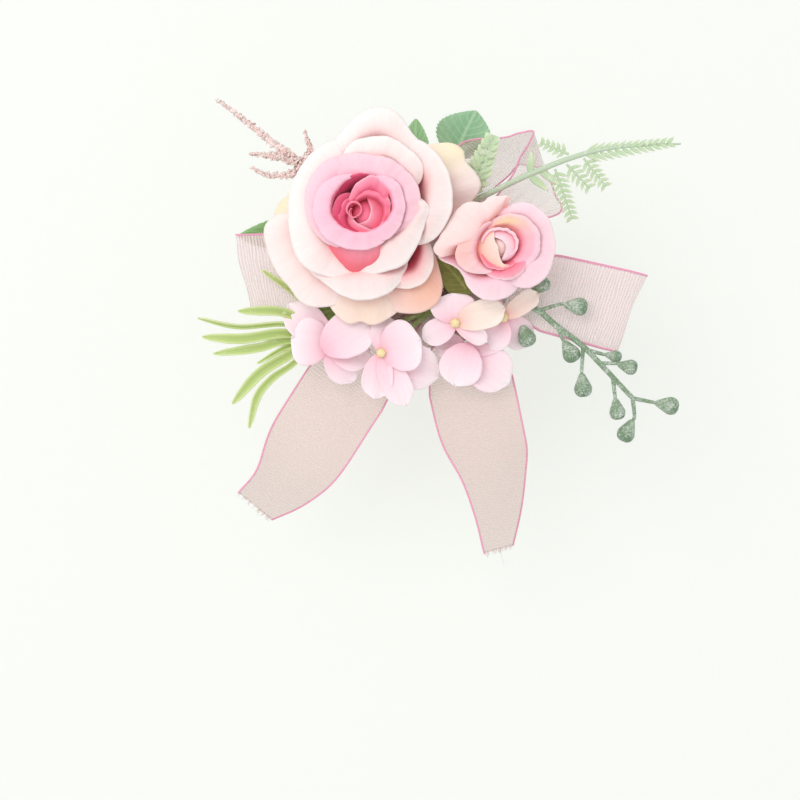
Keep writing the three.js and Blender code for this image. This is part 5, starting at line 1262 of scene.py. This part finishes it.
FRAY_THREADS, THREAD_TINT = 46, (226, 196, 192)
thread, tree = new_material("organza_thread")
finish_material(tree, {"Base Color": own_tint(tree), "Roughness": 0.5, "Sheen Weight": 0.3})
for name, grid, body, longest in [("left_tail_fray", left_end, "left_tail", 2.5),
                                  ("right_tail_fray", right_end, "right_tail", 6.0)]:
    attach(piece(name, fray(grid, FRAY_THREADS, longest), thread), body)
knot_profile = [(0, 0), (3.9, 0), (4.8, 1.2), (5.1, 3), (4.8, 4.8), (3.9, 6), (2, 6.1), (0, 5.6)]
knot = turned(knot_profile, (4, -3, 5.6), (0, 0, 1), around=84, stops=[(0, (224, 196, 192))],
              waves=12, depth=0.045)
fixed("organza_knot", [knot], thread, ["bow_binding"])


# %% [markdown]
# Nothing of the base shows in the picture, but it carries everything. A felt patch is its soft
# underside, the elastic runs over it, and a stiff felt disc on top takes the glue. One node group of
# fibre noise gives felt and elastic their fuzz.

# %% Felt
felt_group, given, result = new_group("felt_fuzz", [("Scale", "Float")], [("Fibre", "Float")])
fibre = node(felt_group, "TexNoise", {"Vector": own_place(felt_group), "Scale": given["Scale"],
                                      "Detail": 6.0, "Distortion": 2.0}).outputs[0]
felt_group.links.new(fibre, result["Fibre"])


def fuzzy(name, dark, light, scale, distance, roughness=0.95):
    """Felted or woven cloth: fibres darken the gaps and raise the surface."""
    material, tree = new_material(name)
    fibre = place_group(tree, felt_group, {"Scale": scale})["Fibre"]
    colour = mixed(tree, fibre, rgba(*dark), rgba(*light))
    finish_material(tree, {
        "Base Color": colour, "Roughness": roughness, "Sheen Weight": 0.4, "Specular IOR Level": 0.1,
        "Normal": bumped(tree, fibre, strength=0.6, distance=distance)})
    return material


felt = fuzzy("felt", (226, 222, 214), (250, 248, 243), scale=700.0, distance=0.0006)
PATCH_WIDE, PATCH_LONG, DISC_Z = 20.6, 23, 3.3
patch_profile = [(0, 0), (19.9, 0), (PATCH_WIDE, 0.4), (PATCH_WIDE, 1.1), (19.9, 1.5), (0, 1.5)]
patch = turned(patch_profile, (0, 0, 0), (0, 0, 1), around=96)
patch["points"] = patch["points"] * [1, PATCH_LONG / PATCH_WIDE, 1]
disc_profile = [(0, 0), (26.2, 0), (27, 0.5), (27, 1.5), (26.2, 2), (0, 2)]
disc = turned(disc_profile, (0, 0, DISC_Z), (0, 0, 1), around=110)
fixed("felt_patch", [patch], felt, ["felt_backing"])
fixed("felt_disc", [disc], felt, ["mount_disc"])


# %% [markdown]
# The elastic is one loop, drawn as a flat section with woven ribs that is carried round an oval. It
# runs between the base and the moving part, and is left in place, not attached to either.

# %% Elastic band
def oval(shoulder, palm, side, top, bottom, steps):
    """Points, evenly spaced, round a loop of two small corners above and two large ones below."""
    quarter = np.linspace(0, np.pi / 2, 40)
    arcs = [(side - shoulder, top - shoulder, shoulder, 0),
            (shoulder - side, top - shoulder, shoulder, 1),
            (palm - side, bottom + palm, palm, 2), (side - palm, bottom + palm, palm, 3)]
    loop = []
    for x, z, radius, number in arcs:
        angle = quarter + number * np.pi / 2
        loop.append(np.stack([x + radius * np.cos(angle), z + radius * np.sin(angle)], 1))
    loop = np.concatenate(loop)
    loop = np.vstack([loop, loop[:1]])
    run = distance_along(loop)
    even = np.linspace(0, run[-1], steps, endpoint=False)
    return np.stack([np.interp(even, run, loop[:, k]) for k in range(2)], 1)


def elastic_loop(width=20.0, thick=1.2, ribs=12, steps=260):
    """A flat section with woven ribs on both faces, carried round the oval."""
    line = oval(shoulder=6.0, palm=14.0, side=26.6, top=2.4, bottom=-40.6, steps=steps)
    way = unit(np.roll(line, -1, 0) - np.roll(line, 1, 0))
    out = np.stack([way[:, 1], -way[:, 0]], 1)
    y = np.linspace(-0.5, 0.5, 73)
    weave = 0.86 + 0.14 * np.cos(2 * np.pi * ribs * y)
    half = 0.5 * thick * weave * np.sqrt(np.clip(1 - (2 * y) ** 40, 0, 1))
    across, lift = np.concatenate([y, y[::-1]]) * width, np.concatenate([half, -half[::-1]])
    flat = line[:, None] + lift[None, :, None] * out[:, None]
    points = together(flat[..., 0], across[None], flat[..., 1])
    points = np.concatenate([points, points[:, :1]], 1)
    return {"points": points, "wrap": True}


elastic = fuzzy("elastic", (214, 208, 200), (246, 242, 236), scale=1500.0, distance=0.0002, roughness=0.8)
band = piece("elastic_band", [elastic_loop()], elastic,
             ["band_top", "band_side_left", "band_side_right", "band_palm"])
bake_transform(band)
